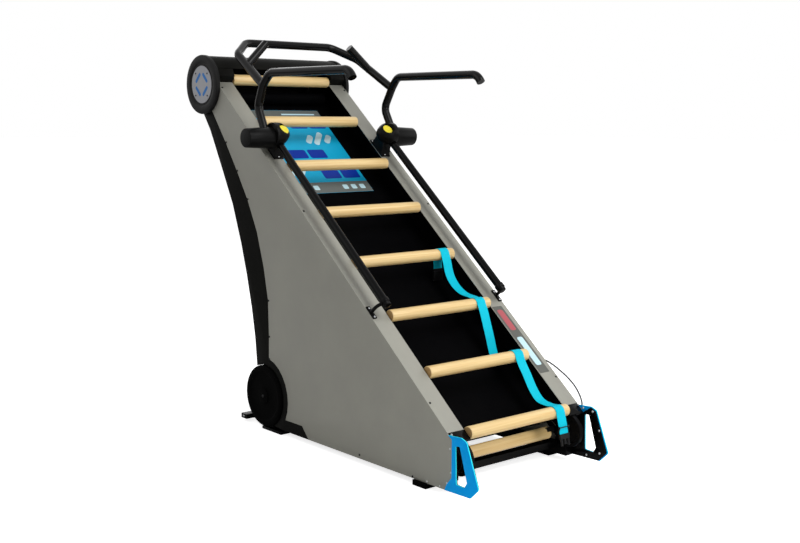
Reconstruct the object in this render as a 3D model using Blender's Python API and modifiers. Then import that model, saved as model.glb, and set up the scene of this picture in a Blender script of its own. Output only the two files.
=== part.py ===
"""Ladder climber: an endless ladder of wooden rungs that the user walks up, at about 40 degrees to the floor.

Metres. X runs across the machine, Y to its back and Z up, with the floor at z = 0. Points on the sloping
ladder are given as (along, out): along the ladder from the lowest front rung's axis, and out from the rungs'
line towards the user. Other side-view points are (y, z), with y measured back from that same rung.
"""
import math

import bmesh
import bpy
from mathutils import Matrix, Vector

# Ladder and its chain drive
LADDER_ANGLE = math.radians(39.7)
LOWEST_RUNG_HEIGHT = 0.2352
RUNG_PITCH = 0.3048
FRONT_RUNGS = 8
RUNG_RADIUS = 0.0254
CHAIN_PITCH = 0.01905
SPROCKET_TEETH = 20
CHAIN_DEPTH = 0.014
CHAIN_WIDTH = 0.018
RUNG_STANDOFF = 0.0161
SPROCKET_WIDTH = 0.008
SHAFT_RADIUS = 0.0125
BRAKE_DISC_RADIUS = 0.046
BRAKE_DISC_WIDTH = 0.006
BRAKE_DISC_X = 0.20
LUG_LENGTH = 0.022
LUG_DEPTH = 0.019
LUG_GRIP = 0.024

# Widths, as distances from the middle plane
BODY_HALF_WIDTH = 0.3714
STRIP_WIDTH = 0.0858
SHEET = 0.0025
RUNG_END_GAP = 0.005
CHAIN_INSET = 0.0174
LINER_INSET = 0.0234
LINER_THICKNESS = 0.003

# Sloping strips and side panels
STRIP_DROP = 0.0014
STRIP_BOTTOM = 0.0206
STRIP_TOP = 2.1165
PANEL_BOTTOM = 0.0222
PANEL_FRONT = -0.0097
PANEL_CORNER = 0.908
PANEL_STEP_HEIGHT = 0.0742
SEAM_GAP = 0.0005

# Cover round the top shaft
DRUM_RADIUS = 0.135
CAP_RADIUS = 0.139
CAP_WIDTH = 0.020
MOUTH_ANGLE = math.radians(146)
DRUM_END_ANGLE = math.radians(-84.8)

# Back board behind the front rungs
BOARD_OUT = -0.118
BOARD_THICKNESS = 0.003
BOARD_BOTTOM = 0.03
ROLL_RADIUS = 0.030
ROLL_HALF_WIDTH = 0.278

# Lift handles and their plates
HANDLE_FRONT = 0.1558
HANDLE_THICKNESS = 0.0052
PLATE_THICKNESS = 0.005
SHELF_LENGTH = 0.051
HANDLE_NOSE = 0.012

# Base frame, feet and wheels
RAIL_SIZE = 0.040
RAIL_BOTTOM = 0.0226
RAIL_HEIGHT = 0.044
RAIL_START = 0.030
CROSSBAR_FRONT = 0.113
POST_WIDTH = 0.014
POST_DEPTH = 0.040
REAR_BAR_GAP = 0.050
REAR_POST_INSET = 0.054
WHEEL_Y = 1.245
WHEEL_RADIUS = 0.142
WHEEL_WIDTH = 0.0385
WHEEL_GROUND_GAP = 0.014
WHEEL_PROUD = 0.0126
ARCH_RADIUS = 0.181
ARCH_WALL = 0.0045
SEAM_START_ANGLE = math.radians(100.5)
WELL_GAP = 0.009
TREAD_GAP = 0.004
AXLE_RADIUS = 0.010
FOOT_Y = (0.127, 0.205)
FOOT_WIDTH = 0.056
FOOT_HEIGHT = 0.0222
SKID_Y = (1.112, 1.262)
SKID_OUTER = 0.3775
SKID_HEIGHT = 0.012
STABILISER_END = 1.450
STABILISER_HEIGHT = 0.022

# Pivot housings, release buttons and handlebars. Widths here are insets from the panel's outer face, rises are
# above the lowest rung, and the head's centre is measured from the pivot.
PIVOT_Y = 1.216
PIVOT_RISE = 1.0988
HEAD_OVERHANG = 0.0300
HEAD_INSET = 0.0214
HEAD_RADIUS = 0.0532
HEAD_CENTRE = (-0.0085, 0.0145)
HEAD_ROUNDING = ((0.0020, 0.15), (0.0060, 0.27), (0.0130, 0.43), (0.0230, 0.62), (0.0340, 0.79),
                 (0.0470, 0.93),
                 (0.0580, 0.985), (0.0652, 1.0))
PIN_RADIUS = 0.014
PIN_LENGTH = 0.045
BARREL_RADIUS = 0.0485
BARREL_TIP_RADIUS = 0.0425
BARREL_LENGTH = 0.1337
BAR_RADIUS = 0.019
BUTTON_INSET = 0.0691
BUTTON_ANGLE = math.radians(138)
BUTTON_SEAT = 0.031
BUTTON_RADIUS = 0.0245
BUTTON_THICKNESS = 0.006
BUTTON_PROUD = 0.0035
BUTTON_TRAVEL = 0.0035
BUTTON_FLARE = 0.27

# Corners of the bars as (inset, behind the pivot, above the pivot)
UPRIGHT = ((0.0000, -0.001, 0.000), (0.0041, 0.072, 0.1365), (-0.0014, 0.020, 0.236), (0.0038, -0.026, 0.285),
           (0.0107, -0.5795, 0.285), (0.0099, -0.6033, 0.251))
BRIDGE = ((-0.0014, 0.022, 0.232), (0.0221, 0.2644, 0.3759), (0.1236, 0.3528, 0.4335))
STUB = ((0.0149, 0.175, 0.3215), (0.1301, 0.1914, 0.4266))
UPRIGHT_BEND = 0.060
BRIDGE_BEND = 0.065

# Hand rails and their lower brackets
HANDRAIL_RADIUS = 0.0173
HANDRAIL_INSET = 0.0424
HANDRAIL_OUT = 0.0704
HANDRAIL_START = 0.607
HANDRAIL_END = 1.585
SOCKET_WALL = 0.0008
BRACKET_PLATE = 0.006
BRACKET_RING = 0.018
BRACKET_RING_WALL = 0.0035
BRACKET_RING_ALONG = 0.632

# Strap, its buckle and the cable
STRAP_INSET = 0.0626
STRAP_WIDTH = 0.050
STRAP_THICKNESS = 0.002
CABLE_RADIUS = 0.0035

# Clearances between pieces that touch, and between pieces that turn in each other
FIT = 0.0003
RUNNING = 0.0005

# Derived places
COS = math.cos(LADDER_ANGLE)
SIN = math.sin(LADDER_ANGLE)
PITCH_RADIUS = CHAIN_PITCH / (2 * math.sin(math.pi / SPROCKET_TEETH))
PATH_RADIUS = PITCH_RADIUS + RUNG_STANDOFF
SHAFT_DISTANCE = FRONT_RUNGS * RUNG_PITCH - math.pi * PITCH_RADIUS
LADDER_MIDDLE = (FRONT_RUNGS - 1) / 2 * RUNG_PITCH
BOTTOM_SHAFT = LADDER_MIDDLE - SHAFT_DISTANCE / 2
TOP_SHAFT = LADDER_MIDDLE + SHAFT_DISTANCE / 2
STRIP_INNER = BODY_HALF_WIDTH - STRIP_WIDTH
RUNG_HALF_LENGTH = STRIP_INNER - RUNG_END_GAP
CHAIN_INNER = STRIP_INNER + CHAIN_INSET
LINER_OUTER = BODY_HALF_WIDTH - LINER_INSET
LINER_INNER = LINER_OUTER - LINER_THICKNESS
PANEL_INNER = BODY_HALF_WIDTH - SHEET
RAIL_TOP = RAIL_BOTTOM + RAIL_HEIGHT
PLATE_OUTER = PANEL_INNER - RUNNING
PLATE_INNER = PLATE_OUTER - PLATE_THICKNESS
RAIL_OUTER = PLATE_INNER - RUNNING
RAIL_INNER = RAIL_OUTER - RAIL_SIZE
WHEEL_Z = WHEEL_RADIUS + WHEEL_GROUND_GAP
WHEEL_OUTER = BODY_HALF_WIDTH + WHEEL_PROUD
WHEEL_INNER = WHEEL_OUTER - WHEEL_WIDTH
WELL_INNER = WHEEL_INNER - WELL_GAP
HEAD_START = STRIP_INNER - HEAD_OVERHANG
HEAD_END = BODY_HALF_WIDTH - HEAD_INSET
BARREL_END = HEAD_END + FIT + BARREL_LENGTH
STRAP_X = RUNG_HALF_LENGTH - STRAP_INSET
REAR_BAR = WHEEL_Y - ARCH_RADIUS - REAR_BAR_GAP
DRUM_BACK = TOP_SHAFT * COS + PATH_RADIUS * SIN + CAP_RADIUS
FRONT_Y = (HANDLE_FRONT - DRUM_BACK) / 2
SIDES = ((-1, 'left'), (1, 'right'))

# The seam between panel and back cover, and the cover's back edge, bow away from straight lines
SEAM_BOW = ((0.077, 0.041), (0.204, 0.100), (0.324, 0.126), (0.461, 0.138), (0.591, 0.123), (0.713, 0.093),
            (0.839, 0.056), (0.898, 0.035))
BACK_BOW = ((0.104, 0.033), (0.213, 0.056), (0.343, 0.074), (0.456, 0.082), (0.613, 0.081), (0.757, 0.057),
            (0.927, 0.026))


def reset():
    """Empties the scene and makes the collection that holds the part."""
    for item in list(bpy.data.objects):
        bpy.data.objects.remove(item)
    for group in list(bpy.data.collections):
        bpy.data.collections.remove(group)
    group = bpy.data.collections.new('ladder_climber')
    bpy.context.scene.collection.children.link(group)
    return group


GROUP = reset()


def material(name, rgb, roughness, metallic=0.0):
    """A plain Principled material."""
    made = bpy.data.materials.new(name)
    made.use_nodes = True
    shader = made.node_tree.nodes['Principled BSDF']
    shader.inputs['Base Color'].default_value = (*rgb, 1)
    shader.inputs['Roughness'].default_value = roughness
    shader.inputs['Metallic'].default_value = metallic
    made.diffuse_color = (*rgb, 1)
    return made


PANEL_GREY = material('panel_grey', (0.20, 0.20, 0.185), 0.45)
BLACK_STEEL = material('black_steel', (0.012, 0.012, 0.013), 0.40)
BLACK_PLASTIC = material('black_plastic', (0.014, 0.014, 0.015), 0.55)
CAP_GREY = material('cap_grey', (0.035, 0.035, 0.036), 0.50)
HANDLE_BLUE = material('handle_blue', (0.005, 0.29, 0.68), 0.45)
WOOD = material('ash_wood', (0.79, 0.60, 0.33), 0.50)
FOAM = material('foam_grip', (0.014, 0.014, 0.014), 0.85)
TYRE = material('wheel_rubber', (0.020, 0.020, 0.020), 0.70)
STEEL = material('bright_steel', (0.55, 0.55, 0.56), 0.30, 1.0)
YELLOW = material('button_yellow', (0.85, 0.72, 0.03), 0.40)
WEBBING = material('cyan_webbing', (0.0, 0.66, 0.90), 0.75)
SHEATH = material('cable_sheath', (0.05, 0.05, 0.05), 0.45)


def ladder(along, out=0.0):
    """The world (y, z) of a point on or off the ladder."""
    return FRONT_Y + along * COS - out * SIN, LOWEST_RUNG_HEIGHT + along * SIN + out * COS


def side(y, z):
    """The world (y, z) of a point measured back from the lowest rung and up from the floor."""
    return FRONT_Y + y, z


def near(y, rise):
    """The world (y, z) of a point measured back and up from the lowest rung."""
    return FRONT_Y + y, LOWEST_RUNG_HEIGHT + rise


def polar(centre, radius, angle):
    """The (y, z) point on a circle, with the angle from +Y towards +Z."""
    return centre[0] + radius * math.cos(angle), centre[1] + radius * math.sin(angle)


def arc(centre, radius, start, end, steps):
    """Points along an arc in the side view."""
    return [polar(centre, radius, start + (end - start) * i / steps) for i in range(steps + 1)]


def rounded(points, radii, steps=6):
    """A closed outline with its corners rounded, each by its own radius."""
    ring = []
    for i, (point, radius) in enumerate(zip(points, radii)):
        corner = Vector(point)
        if not radius:
            ring.append(point)
            continue
        to_last = (Vector(points[i - 1]) - corner).normalized()
        to_next = (Vector(points[(i + 1) % len(points)]) - corner).normalized()
        half = to_last.angle(to_next) / 2
        centre = corner + (to_last + to_next).normalized() * radius / math.sin(half)
        first = corner + to_last * radius / math.tan(half) - centre
        last = corner + to_next * radius / math.tan(half) - centre
        start = math.atan2(first.y, first.x)
        sweep = (math.atan2(last.y, last.x) - start + math.pi) % (2 * math.pi) - math.pi
        ring += arc(centre, radius, start, start + sweep, steps)
    return ring


def bowed(start, end, bow):
    """Points beside the straight line from start to end: shares of its length, and metres to its left."""
    run = Vector(end) - Vector(start)
    left = Vector((-run.y, run.x)).normalized()
    return [tuple(Vector(start) + run * share + left * away) for share, away in bow]


def smooth(points, steps):
    """A smooth curve through all the points."""
    ends = [points[0], *points, points[-1]]
    route = []
    for a, b, c, d in zip(ends, ends[1:], ends[2:], ends[3:]):
        for i in range(steps):
            t = i / steps
            route.append(0.5 * (2 * b + (c - a) * t + (2 * a - 5 * b + 4 * c - d) * t ** 2
                                + (3 * b - a - 3 * c + d) * t ** 3))
    route.append(points[-1])
    return route


def bent(points, radius, steps=5):
    """A route of straight runs with a round bend at each inner point."""
    route = [points[0]]
    for before, corner, after in zip(points, points[1:], points[2:]):
        toward = before - corner
        away = after - corner
        half = toward.angle(away) / 2
        share = 0.98 if after is points[-1] else 0.45
        reach = min(radius / math.tan(half), 0.45 * toward.length, share * away.length)
        centre = corner + (toward.normalized() + away.normalized()).normalized() * reach / math.cos(half)
        first = corner + toward.normalized() * reach - centre
        last = corner + away.normalized() * reach - centre
        turn = first.angle(last)
        axis = first.cross(last)
        route += [centre + Matrix.Rotation(turn * i / steps, 3, axis) @ first for i in range(steps + 1)]
    return [*route, points[-1]]


def link(name, data):
    """A new object in the part's collection."""
    item = bpy.data.objects.new(name, data)
    GROUP.objects.link(item)
    return item


def outline(points, x_from, x_to, holes=()):
    """A flat outline in the side view, with its thickness along X."""
    curve = bpy.data.curves.new('outline', 'CURVE')
    curve.dimensions = '2D'
    curve.fill_mode = 'BOTH'
    curve.extrude = abs(x_to - x_from) / 2
    for ring in (points, *holes):
        spline = curve.splines.new('POLY')
        spline.points.add(len(ring) - 1)
        for point, (y, z) in zip(spline.points, ring):
            point.co = (y, z, 0, 1)
        spline.use_cyclic_u = True
    item = link('outline', curve)
    item.rotation_euler = (math.pi / 2, 0, math.pi / 2)
    item.location.x = (x_from + x_to) / 2
    return item


def block(x, y, z):
    """A box between two values of each world coordinate."""
    mesh = bpy.data.meshes.new('block')
    shape = bmesh.new()
    bmesh.ops.create_cube(shape, size=1)
    shape.to_mesh(mesh)
    shape.free()
    item = link('block', mesh)
    item.location = [(a + b) / 2 for a, b in (x, y, z)]
    item.scale = [abs(b - a) for a, b in (x, y, z)]
    return item


def ladder_block(x, along, out):
    """A box that lies along the ladder."""
    item = block(x, along, out)
    item.location = (sum(x) / 2, *ladder(sum(along) / 2, sum(out) / 2))
    item.rotation_euler.x = LADDER_ANGLE
    return item


def bar(start, end, radius, sides=24, end_radius=None):
    """A round bar, or a cone where its two radii differ, between two points."""
    run = Vector(end) - Vector(start)
    mesh = bpy.data.meshes.new('bar')
    shape = bmesh.new()
    bmesh.ops.create_cone(shape, cap_ends=True, segments=sides, radius1=radius,
                          radius2=radius if end_radius is None else end_radius, depth=run.length)
    shape.to_mesh(mesh)
    shape.free()
    item = link('bar', mesh)
    item.location = (Vector(start) + Vector(end)) / 2
    item.rotation_euler = run.to_track_quat('Z', 'Y').to_euler()
    return item


def disc(x_from, x_to, centre, radius, sides=32):
    """A round bar along X, centred on a (y, z) point."""
    return bar((x_from, *centre), (x_to, *centre), radius, sides)


def turned(profile, centre, steps=32):
    """A shape turned about an X axis, from its (x, radius) profile between two points on the axis."""
    mesh = bpy.data.meshes.new('turned')
    edges = [(i, i + 1) for i in range(len(profile) - 1)]
    mesh.from_pydata([(x, 0, radius) for x, radius in profile], edges, [])
    item = link('turned', mesh)
    item.location = (0, *centre)
    screw = item.modifiers.new('turn', 'SCREW')
    screw.axis = 'X'
    screw.steps = screw.render_steps = steps
    screw.use_merge_vertices = True
    screw.merge_threshold = 0.00001
    return item


def tube(route, radius, roundness=3):
    """A round tube with closed ends along a route of points."""
    curve = bpy.data.curves.new('tube', 'CURVE')
    curve.dimensions = '3D'
    curve.bevel_depth = radius
    curve.bevel_resolution = roundness
    curve.use_fill_caps = True
    spline = curve.splines.new('POLY')
    spline.points.add(len(route) - 1)
    for point, place in zip(spline.points, route):
        point.co = (*place, 1)
    return link('tube', curve)


def ribbon(route, x_from, x_to, thickness):
    """A strip of webbing that follows a side-view route."""
    mesh = bpy.data.meshes.new('ribbon')
    corners = [(x, *place) for place in route for x in (x_from, x_to)]
    faces = [(2 * i, 2 * i + 1, 2 * i + 3, 2 * i + 2) for i in range(len(route) - 1)]
    mesh.from_pydata(corners, [], faces)
    item = link('ribbon', mesh)
    shell = item.modifiers.new('thickness', 'SOLIDIFY')
    shell.thickness = thickness
    shell.offset = 0
    return item


def bake(item):
    """Turns a curve or a modified mesh into a plain closed mesh in its place."""
    bpy.context.view_layer.update()
    graph = bpy.context.evaluated_depsgraph_get()
    mesh = bpy.data.meshes.new_from_object(item.evaluated_get(graph))
    mesh.transform(item.matrix_world)
    shape = bmesh.new()
    shape.from_mesh(mesh)
    bmesh.ops.remove_doubles(shape, verts=shape.verts, dist=0.00001)
    bmesh.ops.recalc_face_normals(shape, faces=shape.faces)
    shape.to_mesh(mesh)
    shape.free()
    bpy.data.objects.remove(item)
    return link('solid', mesh)


def combine(body, tool, operation):
    """One Boolean step between two baked solids."""
    step = body.modifiers.new('step', 'BOOLEAN')
    step.operation = operation
    step.solver = 'EXACT'
    step.object = tool
    result = bake(body)
    bpy.data.objects.remove(tool)
    return result


def unite(*pieces):
    """Welds overlapping pieces into one closed solid."""
    body = bake(pieces[0])
    for piece in pieces[1:]:
        body = combine(body, bake(piece), 'UNION')
    return body


def cut(body, *tools):
    """Takes the tools' shapes out of a solid."""
    body = bake(body)
    for tool in tools:
        body = combine(body, bake(tool), 'DIFFERENCE')
    return body


def finish(item, name, surface, pivot=None):
    """Names and paints a node, shades it, and hangs a moving one from its joint's empty."""
    node = bake(item)
    node.name = name
    node.data.name = name
    node.data.materials.clear()
    node.data.materials.append(surface)
    node.data.shade_smooth()
    node.data.set_sharp_from_angle(angle=math.radians(32))
    if pivot is not None:
        node.parent = pivot
        node.matrix_parent_inverse = pivot.matrix_world.inverted()
    return node


def joint_empty(name, x, centre):
    """An empty on a joint's axis."""
    pivot = link(name, None)
    pivot.location = (x, *centre)
    bpy.context.view_layer.update()
    return pivot


def wheel_centre():
    return side(WHEEL_Y, WHEEL_Z)


def drum_centre():
    return ladder(TOP_SHAFT, -PATH_RADIUS)


def seam_points():
    """The panel's back seam, from the wheel arch up to the cover round the top shaft."""
    start = polar(wheel_centre(), ARCH_RADIUS, SEAM_START_ANGLE)
    end = ladder(TOP_SHAFT - 0.1106, -PATH_RADIUS - 0.0511)
    return [start, *bowed(start, end, SEAM_BOW), end]


def back_points():
    """The back cover's rear edge, from behind the wheel up to the cover round the top shaft."""
    start = (wheel_centre()[0] + 0.064, wheel_centre()[1] + 0.133)
    end = polar(drum_centre(), DRUM_RADIUS + 0.004, DRUM_END_ANGLE)
    return [start, *bowed(start, end, BACK_BOW), end]


def arch_points(gap):
    """The round edge over the wheel, from the step behind the panel's corner up to the seam."""
    radius = ARCH_RADIUS - gap
    low = math.pi + math.asin((WHEEL_Z - PANEL_STEP_HEIGHT + gap) / radius)
    return arc(wheel_centre(), radius, low, SEAM_START_ANGLE, 8)


def make_side_panel(sign, word):
    """A side sheet, folded over at the front into the strip beside the rungs."""
    arch = arch_points(0)
    shape = [ladder(STRIP_BOTTOM, -STRIP_DROP), near(0.0124, 0.0058), near(PANEL_FRONT, -0.0082),
             side(PANEL_FRONT, 0.079), side(0.0154, 0.049), side(0.0284, PANEL_BOTTOM),
             side(PANEL_CORNER, PANEL_BOTTOM), side(PANEL_CORNER + 0.0487, PANEL_STEP_HEIGHT), *arch,
             *seam_points()[1:], ladder(STRIP_TOP, -STRIP_DROP)]
    sheet = outline(shape, sign * PANEL_INNER, sign * BODY_HALF_WIDTH)
    strip = ladder_block((sign * STRIP_INNER, sign * (BODY_HALF_WIDTH - SHEET / 2)),
                         (STRIP_BOTTOM, STRIP_TOP),
                         (-STRIP_DROP - SHEET, -STRIP_DROP))
    finish(unite(sheet, strip), 'side_panel_' + word, PANEL_GREY)


def make_back_cover():
    """The back skin with its side flanges and wheel wells."""
    gap = Vector((SEAM_GAP, -SEAM_GAP / 2))
    seam = [tuple(Vector(point) + gap) for point in seam_points()]
    back = back_points()
    low = SKID_HEIGHT + STABILISER_HEIGHT + 0.006
    foot = (back[0][0] - 0.006, low)
    centre = wheel_centre()
    arch = arch_points(SEAM_GAP)[::-1]
    corner = side(PANEL_CORNER + 0.0492, PANEL_STEP_HEIGHT - SEAM_GAP)
    flange = [*back, *reversed(seam[1:]), *arch, corner, side(PANEL_CORNER + 0.0010, PANEL_BOTTOM),
              side(PANEL_CORNER + 0.192, PANEL_BOTTOM), foot]
    skin_in = [(y - SHEET, z) for y, z in (foot, *back)]
    skin = [foot, *back, *reversed(skin_in)]
    pieces = [outline(skin, -PANEL_INNER - SHEET / 2, PANEL_INNER + SHEET / 2)]
    tools = []
    for sign, _ in SIDES:
        pieces.append(outline(flange, sign * PANEL_INNER, sign * BODY_HALF_WIDTH))
        well = [*arch, (centre[0] - 0.120, low + 0.004), (back[0][0] - 0.004, low + 0.004),
                (back[0][0] - 0.001, back[0][1] - 0.001)]
        pieces.append(outline(well, sign * (WELL_INNER - ARCH_WALL), sign * (BODY_HALF_WIDTH - SHEET / 3)))
        tools.append(disc(sign * WELL_INNER, sign * (BODY_HALF_WIDTH + 0.01), centre,
                          WHEEL_RADIUS + TREAD_GAP, 48))
        tools.append(disc(sign * (WELL_INNER - 0.02), sign * (WELL_INNER + 0.02), centre,
                          AXLE_RADIUS + 0.002))
    finish(cut(unite(*pieces), *tools), 'back_cover', BLACK_PLASTIC)


def make_back_board():
    """The flat board behind the front rungs, with its upper edge rolled forward."""
    top = STRIP_TOP - 0.009
    half = LINER_INNER - RUNNING
    sheet = ladder_block((-half, half), (BOARD_BOTTOM, top),
                         (BOARD_OUT - BOARD_THICKNESS / 2, BOARD_OUT + BOARD_THICKNESS / 2))
    roll = disc(-ROLL_HALF_WIDTH, ROLL_HALF_WIDTH, ladder(top, BOARD_OUT + ROLL_RADIUS - 0.0005), ROLL_RADIUS)
    finish(unite(sheet, roll), 'back_board', BLACK_PLASTIC)


def make_drum_cover():
    """The C-shaped cover over the top shaft, with a horseshoe cheek at each side."""
    centre = drum_centre()
    skin = [*arc(centre, DRUM_RADIUS, MOUTH_ANGLE, DRUM_END_ANGLE, 22),
            *arc(centre, DRUM_RADIUS - SHEET, DRUM_END_ANGLE, MOUTH_ANGLE, 22)]
    half = BODY_HALF_WIDTH - FIT
    pieces = [outline(skin, -half, half)]
    inner = PATH_RADIUS - 0.0025
    outer = DRUM_RADIUS - SHEET / 2
    front_end = TOP_SHAFT - STRIP_TOP - RUNNING
    rear_end = 0.0794
    front_angle = LADDER_ANGLE + math.pi / 2 + math.asin(front_end / outer)
    rear_angle = LADDER_ANGLE - math.pi / 2 - math.asin(rear_end / outer)
    cheek = [ladder(TOP_SHAFT - front_end, inner - PATH_RADIUS),
             *arc(centre, outer, front_angle, rear_angle, 18),
             ladder(TOP_SHAFT - rear_end, -inner - PATH_RADIUS),
             *arc(centre, inner, LADDER_ANGLE - math.pi / 2, LADDER_ANGLE + math.pi / 2, 12)]
    for sign, _ in SIDES:
        pieces.append(outline(cheek, sign * STRIP_INNER, sign * (half - SHEET / 3)))
    finish(unite(*pieces), 'drum_cover', BLACK_PLASTIC)


def make_end_cap(sign, word):
    """A round cap over one end of the top cover."""
    back = sign * (BODY_HALF_WIDTH + FIT)
    face = sign * (BODY_HALF_WIDTH + CAP_WIDTH)
    edge = sign * (BODY_HALF_WIDTH + CAP_WIDTH - 0.004)
    profile = [(back, 0), (back, CAP_RADIUS), (edge, CAP_RADIUS), (face, CAP_RADIUS - 0.004), (face, 0)]
    finish(turned(profile, drum_centre(), 48), 'end_cap_' + word, CAP_GREY)


def make_lift_handle(sign, word):
    """The blue corner handle with its grip slot, and the black plate that carries it."""
    rear = [side(0.028, PANEL_BOTTOM + 0.0002), side(0.0150, 0.0490), side(-0.0101, 0.0790),
            near(-0.0101, -0.0076), near(0.0108, 0.0057)]
    # The rounding takes 0.169 of its radius off the nose, so the nose starts that much further out.
    nose = side(-HANDLE_FRONT - 0.169 * HANDLE_NOSE, 0.067)
    shape = rounded([*rear, near(-0.061, 0.0108), near(-0.090, -0.0002), nose,
                     side(0.042 - HANDLE_FRONT, 0.0248)],
                    (0, 0, 0, 0, 0, 0.006, HANDLE_NOSE, HANDLE_NOSE, 0.010))
    slot = rounded([near(-0.031, -0.0282), near(-0.054, -0.0252), side(-0.095, 0.079), side(-0.080, 0.057),
                    side(-0.036, 0.060)], (0.005, 0.005, 0.005, 0.005, 0.005), 3)
    inner_face = sign * (PLATE_OUTER + FIT)
    outer_face = sign * (PLATE_OUTER + FIT + HANDLE_THICKNESS)
    finish(outline(shape, inner_face, outer_face, [slot]), 'lift_handle_' + word, HANDLE_BLUE)
    plate_shape = rounded([side(0.1265, PANEL_BOTTOM), side(0.1265, 0.075),
                           ladder(0.10, -STRIP_DROP - SHEET - RUNNING),
                           ladder(STRIP_BOTTOM - 0.001, -STRIP_DROP - SHEET - RUNNING),
                           ladder(STRIP_BOTTOM - 0.001, -STRIP_DROP - 0.0006),
                           ladder(STRIP_BOTTOM - SHELF_LENGTH + 0.001, -STRIP_DROP - 0.0006),
                           near(-0.062, 0.0078), near(-0.088, -0.0032), side(0.003 - HANDLE_FRONT, 0.068),
                           side(0.044 - HANDLE_FRONT, 0.0270)],
                          (0, 0, 0, 0, 0, 0, 0.005, 0.010, 0.012, 0.009))
    wide_slot = rounded([near(-0.030, -0.0272), near(-0.055, -0.0237), side(-0.0965, 0.079),
                         side(-0.081, 0.0555),
                         side(-0.035, 0.0585)], (0.005, 0.005, 0.005, 0.005, 0.005), 3)
    plate = outline(plate_shape, sign * PLATE_INNER, sign * PLATE_OUTER, [wide_slot])
    shelf = ladder_block((sign * (STRIP_INNER - 0.0026), sign * (PLATE_OUTER - PLATE_THICKNESS / 2)),
                         (STRIP_BOTTOM - SHELF_LENGTH, STRIP_BOTTOM - RUNNING),
                         (-STRIP_DROP - SHEET, -STRIP_DROP))
    lip = ladder_block((sign * (CHAIN_INNER + CHAIN_WIDTH + 0.0015),
                        sign * (PLATE_OUTER - PLATE_THICKNESS / 2)),
                       (STRIP_BOTTOM - SHELF_LENGTH - SHEET, STRIP_BOTTOM - SHELF_LENGTH + SHEET / 4),
                       (-STRIP_DROP - 0.016, -STRIP_DROP - SHEET / 4))
    finish(unite(plate, shelf, lip), 'handle_plate_' + word, BLACK_STEEL)


def make_frame():
    """The welded base: side rails with posts, two crossbars, rear arms with axle plates, and skids."""
    arm_outer = WELL_INNER - ARCH_WALL - 0.002
    arm_inner = arm_outer - RAIL_SIZE
    reach = RAIL_INNER + 0.010
    pieces = [block((-reach, reach), span(CROSSBAR_FRONT, CROSSBAR_FRONT + RAIL_SIZE),
                    (RAIL_BOTTOM + 0.013, RAIL_TOP - 0.001)),
              block((-reach, reach), span(REAR_BAR, REAR_BAR + RAIL_SIZE),
                    (RAIL_BOTTOM + 0.001, RAIL_TOP - 0.001))]
    for sign, _ in SIDES:
        pieces.append(block((sign * RAIL_INNER, sign * RAIL_OUTER),
                            span(RAIL_START, REAR_BAR + RAIL_SIZE + 0.002),
                            (RAIL_BOTTOM, RAIL_TOP)))
        post = (sign * (LINER_OUTER + RUNNING), sign * (LINER_OUTER + RUNNING + POST_WIDTH))
        pieces.append(block(post, span(0.046, 0.046 + POST_DEPTH), (RAIL_TOP - 0.010, 0.190)))
        rear_post = REAR_BAR - REAR_POST_INSET
        post_top = ladder(rear_post / COS, -PATH_RADIUS)[1]
        pieces.append(block(post, span(rear_post, rear_post + POST_DEPTH), (RAIL_TOP - 0.010, post_top)))
        arm = (sign * arm_inner, sign * arm_outer)
        pieces.append(block(arm, span(REAR_BAR + 0.004, WHEEL_Y + 0.040),
                            (RAIL_BOTTOM + 0.0015, RAIL_TOP - 0.0015)))
        pieces.append(block((sign * (arm_outer - 0.008), sign * (arm_outer - 0.0005)),
                            span(WHEEL_Y - 0.035, WHEEL_Y + 0.035), (RAIL_BOTTOM + 0.010, WHEEL_Z + 0.030)))
        pieces.append(block((sign * (arm_inner + 0.001), sign * (arm_outer - 0.001)),
                            span(SKID_Y[0] + 0.008, SKID_Y[1] - 0.008), (SKID_HEIGHT / 3, RAIL_BOTTOM + 0.010)))
        pieces.append(block((sign * (arm_inner + 0.0015), sign * SKID_OUTER), span(*SKID_Y),
                            (0, SKID_HEIGHT)))
    axle_hole = disc(-BODY_HALF_WIDTH, BODY_HALF_WIDTH, wheel_centre(), AXLE_RADIUS + FIT, 16)
    finish(cut(unite(*pieces), axle_hole), 'base_frame', BLACK_STEEL)


def span(start, end):
    """World Y values of two distances behind the lowest rung."""
    return FRONT_Y + start, FRONT_Y + end


def make_feet(sign, word):
    """A front foot pad."""
    pad = block((sign * (RAIL_INNER + 0.002), sign * (RAIL_INNER + 0.002 + FOOT_WIDTH)), span(*FOOT_Y),
                (0, FOOT_HEIGHT))
    finish(pad, 'front_foot_' + word, BLACK_PLASTIC)


def make_stabiliser():
    """The flat rear stabiliser: a bar across the back, as wide as the body, on two tongues."""
    arm_outer = WELL_INNER - ARCH_WALL - 0.002
    arm_inner = arm_outer - RAIL_SIZE
    low = SKID_HEIGHT
    reach = BODY_HALF_WIDTH - 0.0014
    pieces = [block((-reach, reach), span(STABILISER_END - 0.045, STABILISER_END),
                    (low, low + STABILISER_HEIGHT))]
    for sign, _ in SIDES:
        pieces.append(block((sign * (arm_inner + 0.001), sign * (arm_outer - 0.001)),
                            span(WHEEL_Y + 0.040 + FIT, STABILISER_END - 0.005),
                            (low + 0.0005, low + STABILISER_HEIGHT - 0.0005)))
    finish(unite(*pieces), 'rear_stabiliser', BLACK_STEEL)


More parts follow.
